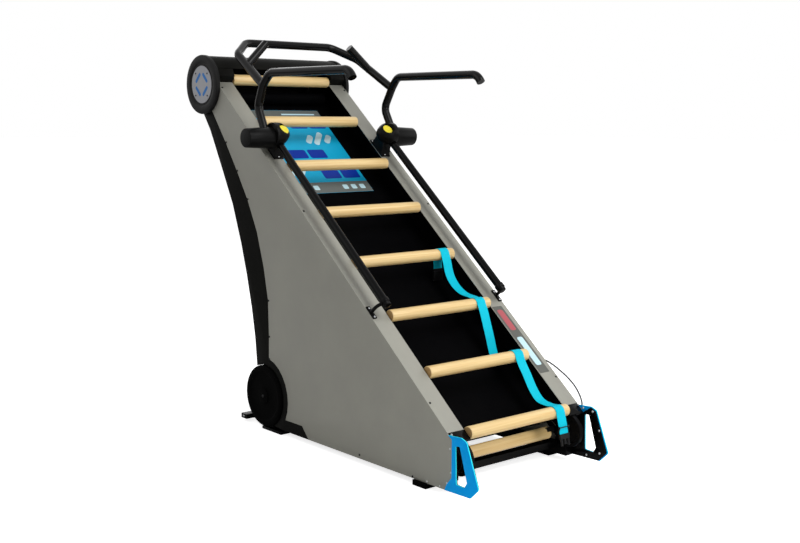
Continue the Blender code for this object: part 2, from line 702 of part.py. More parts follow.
def make_wheel(sign, word):
    """A transport wheel with a dished face and a blind bore."""
    pivot = joint_empty('wheel_joint_' + word, sign * WHEEL_INNER, wheel_centre())
    bore = AXLE_RADIUS + RUNNING
    blind = WHEEL_OUTER - 0.006
    profile = [(blind, 0), (blind, bore), (WHEEL_INNER - 0.004, bore), (WHEEL_INNER - 0.004, 0.026),
               (WHEEL_INNER, 0.026), (WHEEL_INNER, WHEEL_RADIUS - 0.006), (WHEEL_INNER + 0.006, WHEEL_RADIUS),
               (WHEEL_OUTER - 0.007, WHEEL_RADIUS), (WHEEL_OUTER, WHEEL_RADIUS - 0.009),
               (WHEEL_OUTER, WHEEL_RADIUS - 0.028), (WHEEL_OUTER - 0.008, WHEEL_RADIUS - 0.036),
               (WHEEL_OUTER - 0.008, 0.036), (WHEEL_OUTER, 0.032), (WHEEL_OUTER, 0)]
    finish(turned([(sign * x, r) for x, r in profile], wheel_centre(), 32), 'wheel_' + word, TYRE, pivot)


def make_axle():
    """The fixed axle through both wheels."""
    half = WHEEL_OUTER - 0.006 - RUNNING
    finish(disc(-half, half, wheel_centre(), AXLE_RADIUS, 16), 'wheel_axle', STEEL)


def make_liner(sign, word):
    """The inner side plate that carries the shafts' bearing housings."""
    small = 0.045
    wide = PATH_RADIUS - 0.005
    low_centre = ladder(BOTTOM_SHAFT, -PATH_RADIUS)
    quarter = math.pi / 2
    shape = [*arc(drum_centre(), wide, LADDER_ANGLE - quarter, LADDER_ANGLE + quarter, 12),
             ladder(0.035, wide - PATH_RADIUS), *arc(low_centre, small, LADDER_ANGLE + quarter,
                                                     LADDER_ANGLE + 3 * quarter, 10),
             ladder(0.035, -wide - PATH_RADIUS)]
    foot_top = low_centre[1]
    pieces = [outline(shape, sign * LINER_INNER, sign * LINER_OUTER),
              block((sign * (LINER_INNER + 0.0002), sign * (LINER_OUTER - 0.0002)), span(-0.020, 0.110),
                    (RAIL_TOP + FIT, foot_top))]
    housing = SHAFT_RADIUS + RUNNING + 0.016
    for centre in (low_centre, drum_centre()):
        pieces.append(disc(sign * (LINER_INNER - 0.013), sign * (LINER_OUTER + 0.013), centre, housing, 20))
    bores = [disc(sign * (LINER_INNER - 0.02), sign * (LINER_OUTER + 0.008), centre, SHAFT_RADIUS + RUNNING,
                  16)
             for centre in (low_centre, drum_centre())]
    finish(cut(unite(*pieces), *bores), 'liner_plate_' + word, BLACK_STEEL)


def make_chain(sign, word):
    """A roller chain, as one closed band of its outer size."""
    inner = CHAIN_INNER
    centres = (drum_centre(), ladder(BOTTOM_SHAFT, -PATH_RADIUS))
    rings = []
    for radius in (PITCH_RADIUS + CHAIN_DEPTH / 2, PITCH_RADIUS - CHAIN_DEPTH / 2):
        quarter = math.pi / 2
        rings.append([*arc(centres[0], radius, LADDER_ANGLE - quarter, LADDER_ANGLE + quarter, 20),
                      *arc(centres[1], radius, LADDER_ANGLE + quarter, LADDER_ANGLE + 3 * quarter, 20)])
    band = outline(rings[0], sign * inner, sign * (inner + CHAIN_WIDTH), [rings[1]])
    finish(band, 'chain_' + word, STEEL)


def sprocket(sign, centre, *holes):
    """A toothed wheel in the middle of a chain's width."""
    tip = PITCH_RADIUS - CHAIN_DEPTH / 2 - FIT
    root = tip - 0.006
    middle = CHAIN_INNER + CHAIN_WIDTH / 2
    step = 2 * math.pi / SPROCKET_TEETH
    teeth = []
    for i in range(SPROCKET_TEETH):
        teeth += [polar(centre, tip, (i - 0.12) * step), polar(centre, tip, (i + 0.12) * step),
                  polar(centre, root, (i + 0.38) * step), polar(centre, root, (i + 0.62) * step)]
    return outline(teeth, sign * (middle - SPROCKET_WIDTH / 2), sign * (middle + SPROCKET_WIDTH / 2), holes)


def make_top_drive():
    """The top shaft with its two sprockets and the brake disc, hung from an empty on its axis."""
    centre = drum_centre()
    pivot = joint_empty('top_shaft_joint', 0, centre)
    half = LINER_OUTER + 0.007
    finish(disc(-half, half, centre, SHAFT_RADIUS, 16), 'top_shaft', STEEL, pivot)
    bore = arc(centre, SHAFT_RADIUS + FIT, 0, 2 * math.pi * 15 / 16, 15)
    for sign, word in SIDES:
        finish(sprocket(sign, centre, bore), 'top_sprocket_' + word, STEEL, pivot)
    plate = outline(arc(centre, BRAKE_DISC_RADIUS, 0, 2 * math.pi * 31 / 32, 31), BRAKE_DISC_X,
                    BRAKE_DISC_X + BRAKE_DISC_WIDTH, [bore])
    finish(plate, 'brake_disc', STEEL, pivot)


def make_bottom_sprocket(sign, word):
    """A lower sprocket on a short shaft of its own, which runs in the inner side plate."""
    centre = ladder(BOTTOM_SHAFT, -PATH_RADIUS)
    pivot = joint_empty('bottom_sprocket_joint_' + word, sign * LINER_INNER, centre)
    shaft = disc(sign * (CHAIN_INNER - 0.003), sign * (LINER_OUTER + 0.007), centre, SHAFT_RADIUS, 16)
    finish(unite(sprocket(sign, centre), shaft), 'bottom_sprocket_' + word, STEEL, pivot)


def make_rungs():
    """All sixteen rungs, numbered down the front run from 1, then up the back run."""
    front = joint_empty('front_run_joint', 0, ladder(0))
    back = joint_empty('return_run_joint', 0, ladder(0, -2 * PATH_RADIUS))
    for i in range(2 * FRONT_RUNGS):
        returning = i >= FRONT_RUNGS
        row = i - FRONT_RUNGS if returning else FRONT_RUNGS - 1 - i
        along = row * RUNG_PITCH
        out = -2 * PATH_RADIUS if returning else 0
        facing = 1 if returning else -1
        pieces = [disc(-RUNG_HALF_LENGTH, RUNG_HALF_LENGTH, ladder(along, out), RUNG_RADIUS, 20)]
        lug_out = sorted((out + facing * 0.0065, out + facing * (0.0065 + LUG_DEPTH)))
        for sign, _ in SIDES:
            pieces.append(ladder_block((sign * (RUNG_HALF_LENGTH - LUG_GRIP), sign * (CHAIN_INNER - FIT)),
                                       (along - LUG_LENGTH / 2, along + LUG_LENGTH / 2), lug_out))
        finish(unite(*pieces), f'rung_{i + 1:02d}', WOOD, back if returning else front)
    return front


def pivot_centre():
    return near(PIVOT_Y, PIVOT_RISE)


def from_pivot(sign, places):
    """World points from (inset, behind the pivot, above the pivot) ones."""
    return [Vector((sign * (BODY_HALF_WIDTH - inset), *near(PIVOT_Y + back, PIVOT_RISE + up)))
            for inset, back, up in places]


def make_pivot_housing(sign, word):
    """The fixed head on the strip, with its pin, button seat and socket for the hand rail."""
    head = near(PIVOT_Y + HEAD_CENTRE[0], PIVOT_RISE + HEAD_CENTRE[1])
    along = PIVOT_Y * COS + PIVOT_RISE * SIN
    base = -STRIP_DROP + FIT
    rail_x = sign * (BODY_HALF_WIDTH - HANDRAIL_INSET)
    button_x = BODY_HALF_WIDTH - BUTTON_INSET
    floor_gap = BUTTON_THICKNESS - BUTTON_PROUD + BUTTON_TRAVEL + RUNNING

    def on_axis(reach):
        return sign * button_x, *polar(head, reach, BUTTON_ANGLE)

    dome = [(HEAD_START, 0), *((HEAD_START + back, HEAD_RADIUS * share) for back, share in HEAD_ROUNDING),
            (HEAD_END, HEAD_RADIUS), (HEAD_END, 0)]
    neck = [ladder(along - 0.0625, base), ladder(along + 0.0340, base), ladder(along + 0.0300, 0.060),
            ladder(along - 0.0315, 0.060)]
    pieces = [turned([(sign * x, r) for x, r in dome], head, 36),
              disc(sign * (HEAD_END - 0.005), sign * (HEAD_END + PIN_LENGTH), pivot_centre(), PIN_RADIUS, 16),
              outline(neck, sign * (STRIP_INNER + 0.002), sign * (HEAD_END - 0.0135)),
              ladder_block((sign * (STRIP_INNER + 0.001), sign * (HEAD_END - 0.013)),
                           (along - 0.0655, along + 0.0525),
                           (base + 0.0001, base + 0.007)),
              bar((rail_x, *ladder(HANDRAIL_END, HANDRAIL_OUT)),
                  (rail_x, *ladder(along - 0.015, HANDRAIL_OUT)),
                  HANDRAIL_RADIUS + SOCKET_WALL, 20)]
    mouth = 0.034
    recess = unite(bar(on_axis(BUTTON_SEAT - floor_gap), on_axis(BUTTON_SEAT + 0.002), BUTTON_RADIUS + FIT,
                       32),
                   bar(on_axis(BUTTON_SEAT), on_axis(BUTTON_SEAT + mouth), BUTTON_RADIUS + FIT, 32,
                       BUTTON_RADIUS + FIT + mouth * BUTTON_FLARE))
    finish(cut(unite(*pieces), recess), 'pivot_housing_' + word, BLACK_PLASTIC)
    top = on_axis(BUTTON_SEAT + BUTTON_PROUD)
    pivot = joint_empty('button_joint_' + word, top[0], top[1:])
    button = bar(on_axis(BUTTON_SEAT + BUTTON_PROUD - BUTTON_THICKNESS), top, BUTTON_RADIUS, 32)
    finish(button, 'release_button_' + word, YELLOW, pivot)


def make_handlebar(sign, word, pivot):
    """A handlebar: the turning barrel outside the head, and the bent tube with its grip."""
    start = HEAD_END + FIT
    tip = BARREL_TIP_RADIUS
    profile = [(start, 0), (start, BARREL_RADIUS - 0.001), (start + 0.003, BARREL_RADIUS),
               (BARREL_END - 0.004, tip),
               (BARREL_END - 0.001, tip - 0.0015), (BARREL_END, tip - 0.004), (BARREL_END, 0)]
    barrel = turned([(sign * x, r) for x, r in profile], pivot_centre(), 28)
    bores = [disc(sign * (start - 0.01), sign * (HEAD_END + PIN_LENGTH + RUNNING), pivot_centre(),
                  PIN_RADIUS + RUNNING, 16)
             for _ in range(2)]
    body = cut(barrel, bores[0])
    tube_body = tube(bent(from_pivot(sign, UPRIGHT), UPRIGHT_BEND, 4), BAR_RADIUS)
    finish(cut(unite(body, tube_body), bores[1]), 'handlebar_' + word, BLACK_PLASTIC, pivot)


def make_bridge(pivot):
    """The bridge over the top between the uprights, with its two square-cut stubs."""
    right = from_pivot(1, BRIDGE)
    left = [Vector((-point.x, point.y, point.z)) for point in reversed(right)]
    pieces = [tube(bent([*right, *left], BRIDGE_BEND, 5), BAR_RADIUS)]
    for sign, _ in SIDES:
        pieces.append(bar(*from_pivot(sign, STUB), BAR_RADIUS - 0.0005, 16))
    coping = [tube(bent(from_pivot(sign, UPRIGHT), UPRIGHT_BEND, 4), BAR_RADIUS + FIT) for sign, _ in SIDES]
    finish(cut(unite(*pieces), *coping), 'handlebar_bridge', BLACK_PLASTIC, pivot)


def make_hand_rail(sign, word):
    """A foam-covered hand rail, and its lower bracket: a small plate, a bent leg and a ring round the rail."""
    x = sign * (BODY_HALF_WIDTH - HANDRAIL_INSET)

    def on_rail(along):
        return Vector((x, *ladder(along, HANDRAIL_OUT)))

    finish(bar(on_rail(HANDRAIL_START), on_rail(HANDRAIL_END - FIT), HANDRAIL_RADIUS, 24),
           'hand_rail_' + word, FOAM)
    base = -STRIP_DROP + FIT
    middle = BRACKET_RING_ALONG
    plate = ladder_block((sign * (BODY_HALF_WIDTH - 0.0215), sign * (BODY_HALF_WIDTH - 0.003)),
                         (middle - 0.026, middle + 0.038), (base, base + BRACKET_PLATE))
    ring = bar(on_rail(middle - BRACKET_RING / 2), on_rail(middle + BRACKET_RING / 2),
               HANDRAIL_RADIUS + BRACKET_RING_WALL, 24)
    leg = tube(bent([Vector((sign * (BODY_HALF_WIDTH - 0.0122), *ladder(middle + 0.008, base + 0.0047))),
                     Vector((sign * (BODY_HALF_WIDTH - 0.0150), *ladder(middle + 0.002, 0.042))),
                     Vector((x, *ladder(middle, 0.066)))], 0.020, 4), 0.0075)
    bore = bar(on_rail(middle - 0.03), on_rail(middle + 0.03), HANDRAIL_RADIUS + FIT, 24)
    finish(cut(unite(plate, ring, leg), bore), 'rail_bracket_' + word, BLACK_STEEL)


def rung_place(number):
    """The side-view place of a front rung, measured back from the lowest one."""
    y, z = ladder((FRONT_RUNGS - number) * RUNG_PITCH)
    return y, z


def over_rung(number, start, end, steps=8):
    """The strap's centreline over a front rung, between two angles from the back."""
    radius = RUNG_RADIUS + STRAP_THICKNESS / 2 + 3 * FIT
    return arc(rung_place(number), radius, math.radians(start), math.radians(end), steps)


def hang(points, steps=3):
    """A smooth free stretch of the strap, without its end points."""
    route = smooth([Vector(point) for point in points], steps)
    return [tuple(point) for point in route[1:-1]]


def strap_route():
    """The webbing's centreline, from the socket behind rung 5 over rungs 5 to 8 and down to the plug."""
    five = over_rung(5, 0, 150)
    six = over_rung(6, 62, 165)
    seven = over_rung(7, 5, 150)
    eight = over_rung(8, 68, 172)
    tail = [near(0.7245, 0.5184), near(0.7255, 0.5384), near(0.7275, 0.5648)]
    first = hang([five[-1], near(0.664, 0.5538), near(0.644, 0.4968), near(0.604, 0.4518),
                  near(0.552, 0.4248),
                  near(0.505, 0.4178), six[0]])
    second = hang([six[-1], near(0.425, 0.3588), near(0.405, 0.3048), near(0.385, 0.2503),
                   near(0.366, 0.1948),
                   near(0.344, 0.1568), near(0.316, 0.1448), near(0.286, 0.1608), seven[0]])
    third = hang([seven[-1], near(0.197, 0.1758), near(0.163, 0.1268), near(0.127, 0.0728),
                  near(0.087, 0.0348),
                  near(0.042, 0.0248), eight[0]])
    last = [near(-0.034, -0.0222), near(-0.042, -0.0502), near(-0.0487, -0.0802)]
    return [*tail, *five, *first, *six, *second, *seven, *third, *eight, *last]


def make_strap(pivot):
    """The webbing strap over the rungs, with the two halves of its buckle."""
    edges = (STRAP_X - STRAP_WIDTH / 2, STRAP_X + STRAP_WIDTH / 2)
    route = strap_route()
    finish(ribbon(route, *edges, STRAP_THICKNESS), 'strap', WEBBING, pivot)
    wide = (edges[0] - 0.003, edges[1] + 0.003)
    y, z = route[0]
    tab = block((edges[0] - 0.001, edges[1] + 0.001), (y - 0.003, y + 0.003), (z - FIT - 0.014, z - FIT))
    body = block(wide, (y - 0.006, y + 0.006), (z - 0.053, z - 0.012))
    mouth = block((edges[0] + 0.002, edges[1] - 0.002), (y - 0.0035, y + 0.0035), (z - 0.060, z - 0.022))
    finish(cut(unite(tab, body), mouth), 'buckle_socket', BLACK_PLASTIC, pivot)
    end = Vector(route[-1])
    down = (end - Vector(route[-2])).normalized()
    tilt = math.atan2(down.x, -down.y)
    pieces = []
    for x_from, x_to, start, stop, thick in (
            (wide[0], wide[1], FIT, 0.020, 0.0045), (wide[0] + 0.004, wide[0] + 0.011, 0.018, 0.048, 0.0040),
            (wide[1] - 0.011, wide[1] - 0.004, 0.018, 0.048, 0.0040),
            (STRAP_X - 0.005, STRAP_X + 0.005, 0.018, 0.042, 0.0035)):
        middle = end + down * (start + stop) / 2
        piece = block((x_from, x_to), (-thick, thick), ((start - stop) / 2, (stop - start) / 2))
        piece.location = ((x_from + x_to) / 2, *middle)
        piece.rotation_euler.x = tilt
        pieces.append(piece)
    finish(unite(*pieces), 'buckle_plug', BLACK_PLASTIC, pivot)


def make_cable():
    """The thin sheathed cable outside the right panel, from the panel to the lift handle."""
    face = BODY_HALF_WIDTH
    points = [(face + FIT, 0.232, 0.1558), (face + 0.007, 0.230, 0.1568), (face + 0.009, 0.216, 0.1668),
              (face + 0.008, 0.200, 0.1718), (face + 0.008, 0.181, 0.1598), (face + 0.009, 0.162, 0.1488),
              (face + 0.011, 0.130, 0.1378), (face + 0.012, 0.099, 0.1208), (face + 0.011, 0.053, 0.0833),
              (face + 0.008, 0.015, 0.0478), (face + 0.003, -0.004, 0.0248), (face, -0.010, 0.0133),
              (face, -0.010, 0.0086)]
    route = smooth([Vector((x, *near(y, rise))) for x, y, rise in points], 2)
    finish(tube(route, CABLE_RADIUS, 2), 'cable', SHEATH)


def build():
    """Makes every sub-part."""
    for sign, word in SIDES:
        make_side_panel(sign, word)
        make_end_cap(sign, word)
        make_lift_handle(sign, word)
        make_feet(sign, word)
        make_wheel(sign, word)
        make_liner(sign, word)
        make_chain(sign, word)
        make_bottom_sprocket(sign, word)
        make_hand_rail(sign, word)
        make_pivot_housing(sign, word)
    make_back_cover()
    make_back_board()
    make_drum_cover()
    make_frame()
    make_stabiliser()
    make_axle()
    make_top_drive()
    handlebar_pivot = joint_empty('handlebar_joint', 0, pivot_centre())
    for sign, word in SIDES:
        make_handlebar(sign, word, handlebar_pivot)
    make_bridge(handlebar_pivot)
    front_run = make_rungs()
    make_strap(front_run)
    make_cable()


build()
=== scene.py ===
"""Looks of the ladder climber: an endless ladder of ash rungs in a painted steel housing, in metres."""
import math
import random

import bpy
from mathutils import Matrix, Vector


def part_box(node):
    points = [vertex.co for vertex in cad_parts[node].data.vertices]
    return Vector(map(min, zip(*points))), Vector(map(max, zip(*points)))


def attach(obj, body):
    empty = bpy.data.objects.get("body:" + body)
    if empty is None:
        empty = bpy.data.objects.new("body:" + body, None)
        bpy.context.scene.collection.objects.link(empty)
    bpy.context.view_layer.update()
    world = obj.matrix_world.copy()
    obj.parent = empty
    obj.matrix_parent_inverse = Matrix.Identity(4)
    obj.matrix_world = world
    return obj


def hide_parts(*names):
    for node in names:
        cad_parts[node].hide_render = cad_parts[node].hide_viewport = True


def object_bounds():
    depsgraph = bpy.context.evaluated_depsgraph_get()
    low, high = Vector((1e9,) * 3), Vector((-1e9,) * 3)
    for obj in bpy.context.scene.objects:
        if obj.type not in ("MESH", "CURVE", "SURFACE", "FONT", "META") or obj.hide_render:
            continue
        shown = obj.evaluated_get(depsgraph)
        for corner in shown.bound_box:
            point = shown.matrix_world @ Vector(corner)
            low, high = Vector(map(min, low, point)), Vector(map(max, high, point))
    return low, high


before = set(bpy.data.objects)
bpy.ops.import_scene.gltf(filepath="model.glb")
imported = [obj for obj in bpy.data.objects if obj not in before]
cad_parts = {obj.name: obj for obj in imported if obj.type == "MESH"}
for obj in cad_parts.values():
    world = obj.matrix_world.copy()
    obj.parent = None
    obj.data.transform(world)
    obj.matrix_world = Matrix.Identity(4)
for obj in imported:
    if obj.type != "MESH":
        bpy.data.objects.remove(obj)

cad_low, cad_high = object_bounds()

# Camera
# The view of the photograph: from the left front, a little above the rungs, through a 52 mm lens. Its place
# and turns were fitted to the rungs and strips. The standard view shows colours as their plain sRGB values.
YAW = math.radians(40.584)
PITCH = math.radians(-7.732)
ROLL = math.radians(0.416)
EYE = (-3.2560, -3.9273, 1.4359)
LENS = 51.67
SENSOR = 36
forward = Vector((math.sin(YAW) * math.cos(PITCH), math.cos(YAW) * math.cos(PITCH), math.sin(PITCH)))
level = Vector((math.cos(YAW), -math.sin(YAW), 0))
upward = level.cross(forward)
camera_right = level * math.cos(ROLL) + upward * math.sin(ROLL)
camera_top = upward * math.cos(ROLL) - level * math.sin(ROLL)
bpy.ops.object.camera_add()
camera = bpy.context.object
camera.matrix_world = Matrix((camera_right, camera_top, -forward)).transposed().to_4x4()
camera.location = EYE
camera.data.sensor_width = SENSOR
camera.data.lens = LENS
bpy.context.scene.camera = camera
bpy.context.scene.view_settings.view_transform = 'Standard'


# Studio
# A matt white floor that hardly shows, and a white surround. One broad lamp hangs over the ladder's slope,
# a low lamp stands in front of the rungs, with a fill at each side and one behind.
def linear(code):
    """A #rrggbb colour as linear RGBA."""
    parts = [int(code[i:i + 2], 16) / 255 for i in (1, 3, 5)]
    return [*(c / 12.92 if c <= 0.04045 else ((c + 0.055) / 1.055) ** 2.4 for c in parts), 1]


def node(surface, kind, settings=None, feeds=None):
    """Adds a node, with its settings by socket or property and what feeds its sockets."""
    made = surface.node_tree.nodes.new('ShaderNode' + kind)
    for name, value in (settings or {}).items():
        if isinstance(name, int) or name in made.inputs:
            made.inputs[name].default_value = value
        else:
            setattr(made, name, value)
    for name, source in (feeds or {}).items():
        surface.node_tree.links.new(source, made.inputs[name])
    return made


def finish(name, settings):
    """A new material, and the shader that holds what is the same all over it."""
    surface = bpy.data.materials.new(name)
    surface.use_nodes = True
    shader = surface.node_tree.nodes['Principled BSDF']
    for socket, value in settings.items():
        shader.inputs[socket].default_value = value
    return surface, shader


# The surround is full white to the camera, through glass and in mirrors, and lights the rest by this share.
AMBIENT = 0.31
world = bpy.data.worlds.new('studio')
world.use_nodes = True
bpy.context.scene.world = world
rays = node(world, 'LightPath')
seen = node(world, 'Math', {'operation': 'MAXIMUM'}, {0: rays.outputs['Is Camera Ray'],
                                                      1: rays.outputs['Is Transmission Ray']})
mirrored = node(world, 'Math', {'operation': 'MAXIMUM'}, {0: seen.outputs[0],
                                                          1: rays.outputs['Is Glossy Ray']})
level_of_light = node(world, 'MapRange', {'To Min': AMBIENT, 'To Max': 1.0}, {'Value': mirrored.outputs[0]})
surround = world.node_tree.nodes['Background']
surround.inputs['Color'].default_value = (1, 1, 1, 1)
world.node_tree.links.new(level_of_light.outputs['Result'], surround.inputs['Strength'])

# The floor glows a little to the camera alone, so that only the soft shade under the machine is left of it.
FLOOR_LIFT = 0.78
FLOOR_SIZE = 120
FLOOR_MOTTLE = 0.3333
floor_paint, floor_shader = finish('matt_floor_paint', {'Roughness': 0.9, 'Specular IOR Level': 0.1})
place = node(floor_paint, 'TexCoord')
mottle = node(floor_paint, 'TexNoise', {'Scale': 1 / FLOOR_MOTTLE, 'Detail': 2.0},
              {'Vector': place.outputs['Object']})
shade = node(floor_paint, 'ValToRGB', None, {'Fac': mottle.outputs['Fac']})
shade.color_ramp.elements[0].color = linear('#f6f6f6')
shade.color_ramp.elements[1].color = linear('#fafafa')
floor_paint.node_tree.links.new(shade.outputs['Color'], floor_shader.inputs['Base Color'])
rays = node(floor_paint, 'LightPath')
lift = node(floor_paint, 'Math', {'operation': 'MULTIPLY', 1: FLOOR_LIFT}, {0: rays.outputs['Is Camera Ray']})
floor_shader.inputs['Emission Color'].default_value = (1, 1, 1, 1)
floor_paint.node_tree.links.new(lift.outputs[0], floor_shader.inputs['Emission Strength'])
bpy.ops.mesh.primitive_plane_add(size=FLOOR_SIZE)
floor = bpy.context.object
floor.name = 'floor'
floor.data.materials.append(floor_paint)

LAMP_AIM = Vector((0, 0, 0.9))
# Each lamp's place, watts and size.
LAMPS = (((0.5, -3.4, 4.6), 150, 3.0),
         ((0.6, -4.6, 1.6), 44, 1.8),
         ((3.6, -1.8, 2.6), 20, 2.4),
         ((-2.8, 0.9, 3.5), 15, 2.4),
         ((0.8, 4.4, 2.8), 40, 3.0))
for spot, watts, size in LAMPS:
    bpy.ops.object.light_add(type='AREA', location=spot)
    lamp = bpy.context.object
    lamp.data.energy = watts
    lamp.data.size = size
    lamp.rotation_euler = (LAMP_AIM - Vector(spot)).to_track_quat('-Z', 'Y').to_euler()

# Side panels
# Two sheets of steel, folded over at the front into the strips beside the rungs, and stoved in warm grey
# paint. The paint is satin, with blotches that hardly show and the faint orange peel of a spray gun.
SIDES = ((-1, 'left'), (1, 'right'))
BLOTCH = 0.1667


def sprayed(name, dark, light, roughness, peel, depth, gloss=0.5):
    """Paint or moulded skin: two near colours in blotches, and a fine bump that is peel metres across."""
    surface, shader = finish(name, {'Specular IOR Level': gloss})
    place = node(surface, 'TexCoord')
    patches = node(surface, 'TexNoise', {'Scale': 1 / BLOTCH, 'Detail': 4.0, 'Roughness': 0.6},
                   {'Vector': place.outputs['Object']})
    shade = node(surface, 'ValToRGB', None, {'Fac': patches.outputs['Fac']})
    shade.color_ramp.elements[0].position = 0.3
    shade.color_ramp.elements[0].color = linear(dark)
    shade.color_ramp.elements[1].position = 0.7
    shade.color_ramp.elements[1].color = linear(light)
    wear = node(surface, 'MapRange', {'To Min': roughness - 0.05, 'To Max': roughness + 0.06},
                {'Value': patches.outputs['Fac']})
    skin = node(surface, 'TexNoise', {'Scale': 1 / peel, 'Detail': 2.0}, {'Vector': place.outputs['Object']})
    bump = node(surface, 'Bump', {'Strength': 0.35, 'Distance': depth}, {'Height': skin.outputs['Fac']})
    for source, socket in ((shade.outputs['Color'], 'Base Color'), (wear.outputs['Result'], 'Roughness'),
                           (bump.outputs['Normal'], 'Normal')):
        surface.node_tree.links.new(source, shader.inputs[socket])
    return surface


def select(piece):
    """Makes a piece the only one selected, and the active one."""
    bpy.ops.object.select_all(action='DESELECT')
    piece.select_set(True)
    bpy.context.view_layer.objects.active = piece


def settle(piece, name, surfaces, body, nodes=(), angle=32):
    """Ends a piece: its place goes into its mesh, and it gets its name, finish, body and CAD nodes."""
    select(piece)
    bpy.ops.object.transform_apply(location=True, rotation=True, scale=True)
    bpy.ops.object.shade_smooth_by_angle(angle=math.radians(angle))
    piece.name = piece.data.name = name
    piece.data.materials.clear()
    for surface in surfaces:
        piece.data.materials.append(surface)
    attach(piece, body)
    if nodes:
        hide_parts(*nodes)
    return piece


def eased(name, surface, body, edge_width):
    """Stands for a CAD node: a copy of it with its facets merged and its sharp edges rounded off."""
    piece = bpy.data.objects.new(name + '_form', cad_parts[name].data.copy())
    bpy.context.scene.collection.objects.link(piece)
    select(piece)
    bpy.ops.mesh.customdata_custom_splitnormals_clear()
    bpy.ops.object.mode_set(mode='EDIT')
    bpy.ops.mesh.select_all(action='SELECT')
    bpy.ops.mesh.remove_doubles(threshold=0.00002)
    bpy.ops.mesh.dissolve_limited(angle_limit=math.radians(0.6))
    bpy.ops.object.mode_set(mode='OBJECT')
    edge = piece.modifiers.new('edge', 'BEVEL')
    edge.limit_method = 'ANGLE'
    edge.angle_limit = math.radians(40)
    edge.width = edge_width
    edge.segments = 2
    bpy.ops.object.modifier_apply(modifier='edge')
    return settle(piece, name + '_form', [surface], body, [name])


panel_paint = sprayed('stoved_grey_paint', '#94938a', '#9a998f', roughness=0.44, peel=0.0016, depth=0.00006,
                      gloss=0.35)
for _, word in SIDES:
    eased('side_panel_' + word, panel_paint, 'frame', edge_width=0.0008)

# Screws in the panels
# Small button heads with a socket in them, modelled once: black oxide in the strips and along the seams,
# and zinc plated by the floor. The oxide is a dull black, and the zinc a pale metal with soft lights.
LADDER_ANGLE = math.radians(39.7)
COS, SIN = math.cos(LADDER_ANGLE), math.sin(LADDER_ANGLE)
OUTWARD = Vector((0, -SIN, COS))
LOWEST_RUNG_HEIGHT = 0.2352
RUNG_TO_WHEEL = 1.245
FRONT_Y = (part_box('wheel_left')[0].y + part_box('wheel_left')[1].y) / 2 - RUNG_TO_WHEEL
PANEL_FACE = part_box('side_panel_right')[1].x
STRIP_FACE = -0.0014
STRIP_SCREW_X = 0.3600
STRIP_SCREWS = (2.075, 1.238, 0.166)
# Places in a panel, behind the lowest rung and above the floor.
SEAM_SCREWS = ((1.2078, 0.3332), (1.2062, 0.4372), (1.2110, 0.6026), (1.3722, 1.0520), (1.4574, 1.1784),
               (1.5508, 1.3067))
SILL_SCREWS = ((0.549, 0.038), (0.214, 0.029))
CORNER_BOLTS = ((0.129, 0.030), (0.056, 0.030), (0.016, 0.052), (-0.005, 0.0975), (0.001, 0.189))


def ladder(x, along, out=0.0):
    """A point by its place along the ladder from the lowest rung, and out towards the user."""
    return Vector((x, FRONT_Y + along * COS - out * SIN, LOWEST_RUNG_HEIGHT + along * SIN + out * COS))


def side(x, y, z):
    """A point measured back from the lowest rung and up from the floor."""
    return Vector((x, FRONT_Y + y, z))


def pointed(direction):
    """The turn that points a shape's X axis along a direction."""
    return Vector(direction).to_track_quat('X', 'Z').to_matrix().to_4x4()


def turn(profile, start, direction=(1, 0, 0), steps=64):
    """A turned shape: an (along, radius) profile spun once round the axis from start."""
    bpy.ops.object.select_all(action='DESELECT')
    bpy.ops.mesh.primitive_plane_add(size=0.01, location=(0, 0, 0))
    piece = bpy.context.object
    bpy.ops.object.mode_set(mode='EDIT')
    bpy.ops.mesh.select_all(action='SELECT')
    bpy.ops.mesh.merge(type='CENTER')
    bpy.ops.transform.translate(value=(profile[0][0], 0, profile[0][1]))
    for (x, radius), (next_x, next_radius) in zip(profile, profile[1:]):
        step = (next_x - x, 0, next_radius - radius)
        bpy.ops.mesh.extrude_vertices_move(TRANSFORM_OT_translate={'value': step})
    bpy.ops.mesh.select_all(action='SELECT')
    bpy.ops.mesh.spin(steps=steps, angle=2 * math.pi, center=(0, 0, 0), axis=(1, 0, 0))
    bpy.ops.mesh.select_all(action='SELECT')
    bpy.ops.mesh.remove_doubles(threshold=0.000005)
    bpy.ops.mesh.normals_make_consistent(inside=False)
    bpy.ops.object.mode_set(mode='OBJECT')
    piece.matrix_world = Matrix.Translation(start) @ pointed(direction)
    return piece


def together(pieces):
    """Joins pieces into the first."""
    bpy.ops.object.select_all(action='DESELECT')
    for piece in pieces:
        piece.select_set(True)
    bpy.context.view_layer.objects.active = pieces[0]
    if len(pieces) > 1:
        bpy.ops.object.join()
    return pieces[0]


def screws(name, places, surface, radius, body='frame'):
    """Copies of the screw head at each (point, outward direction), as one piece."""
    copies = []
    for point, outward in places:
        copy = screw_head.copy()
        copy.data = screw_head.data.copy()
        bpy.context.scene.collection.objects.link(copy)
        copy.matrix_world = Matrix.Translation(point) @ pointed(outward) @ Matrix.Scale(radius, 4)
        copies.append(copy)
    return settle(together(copies), name, [surface], body)


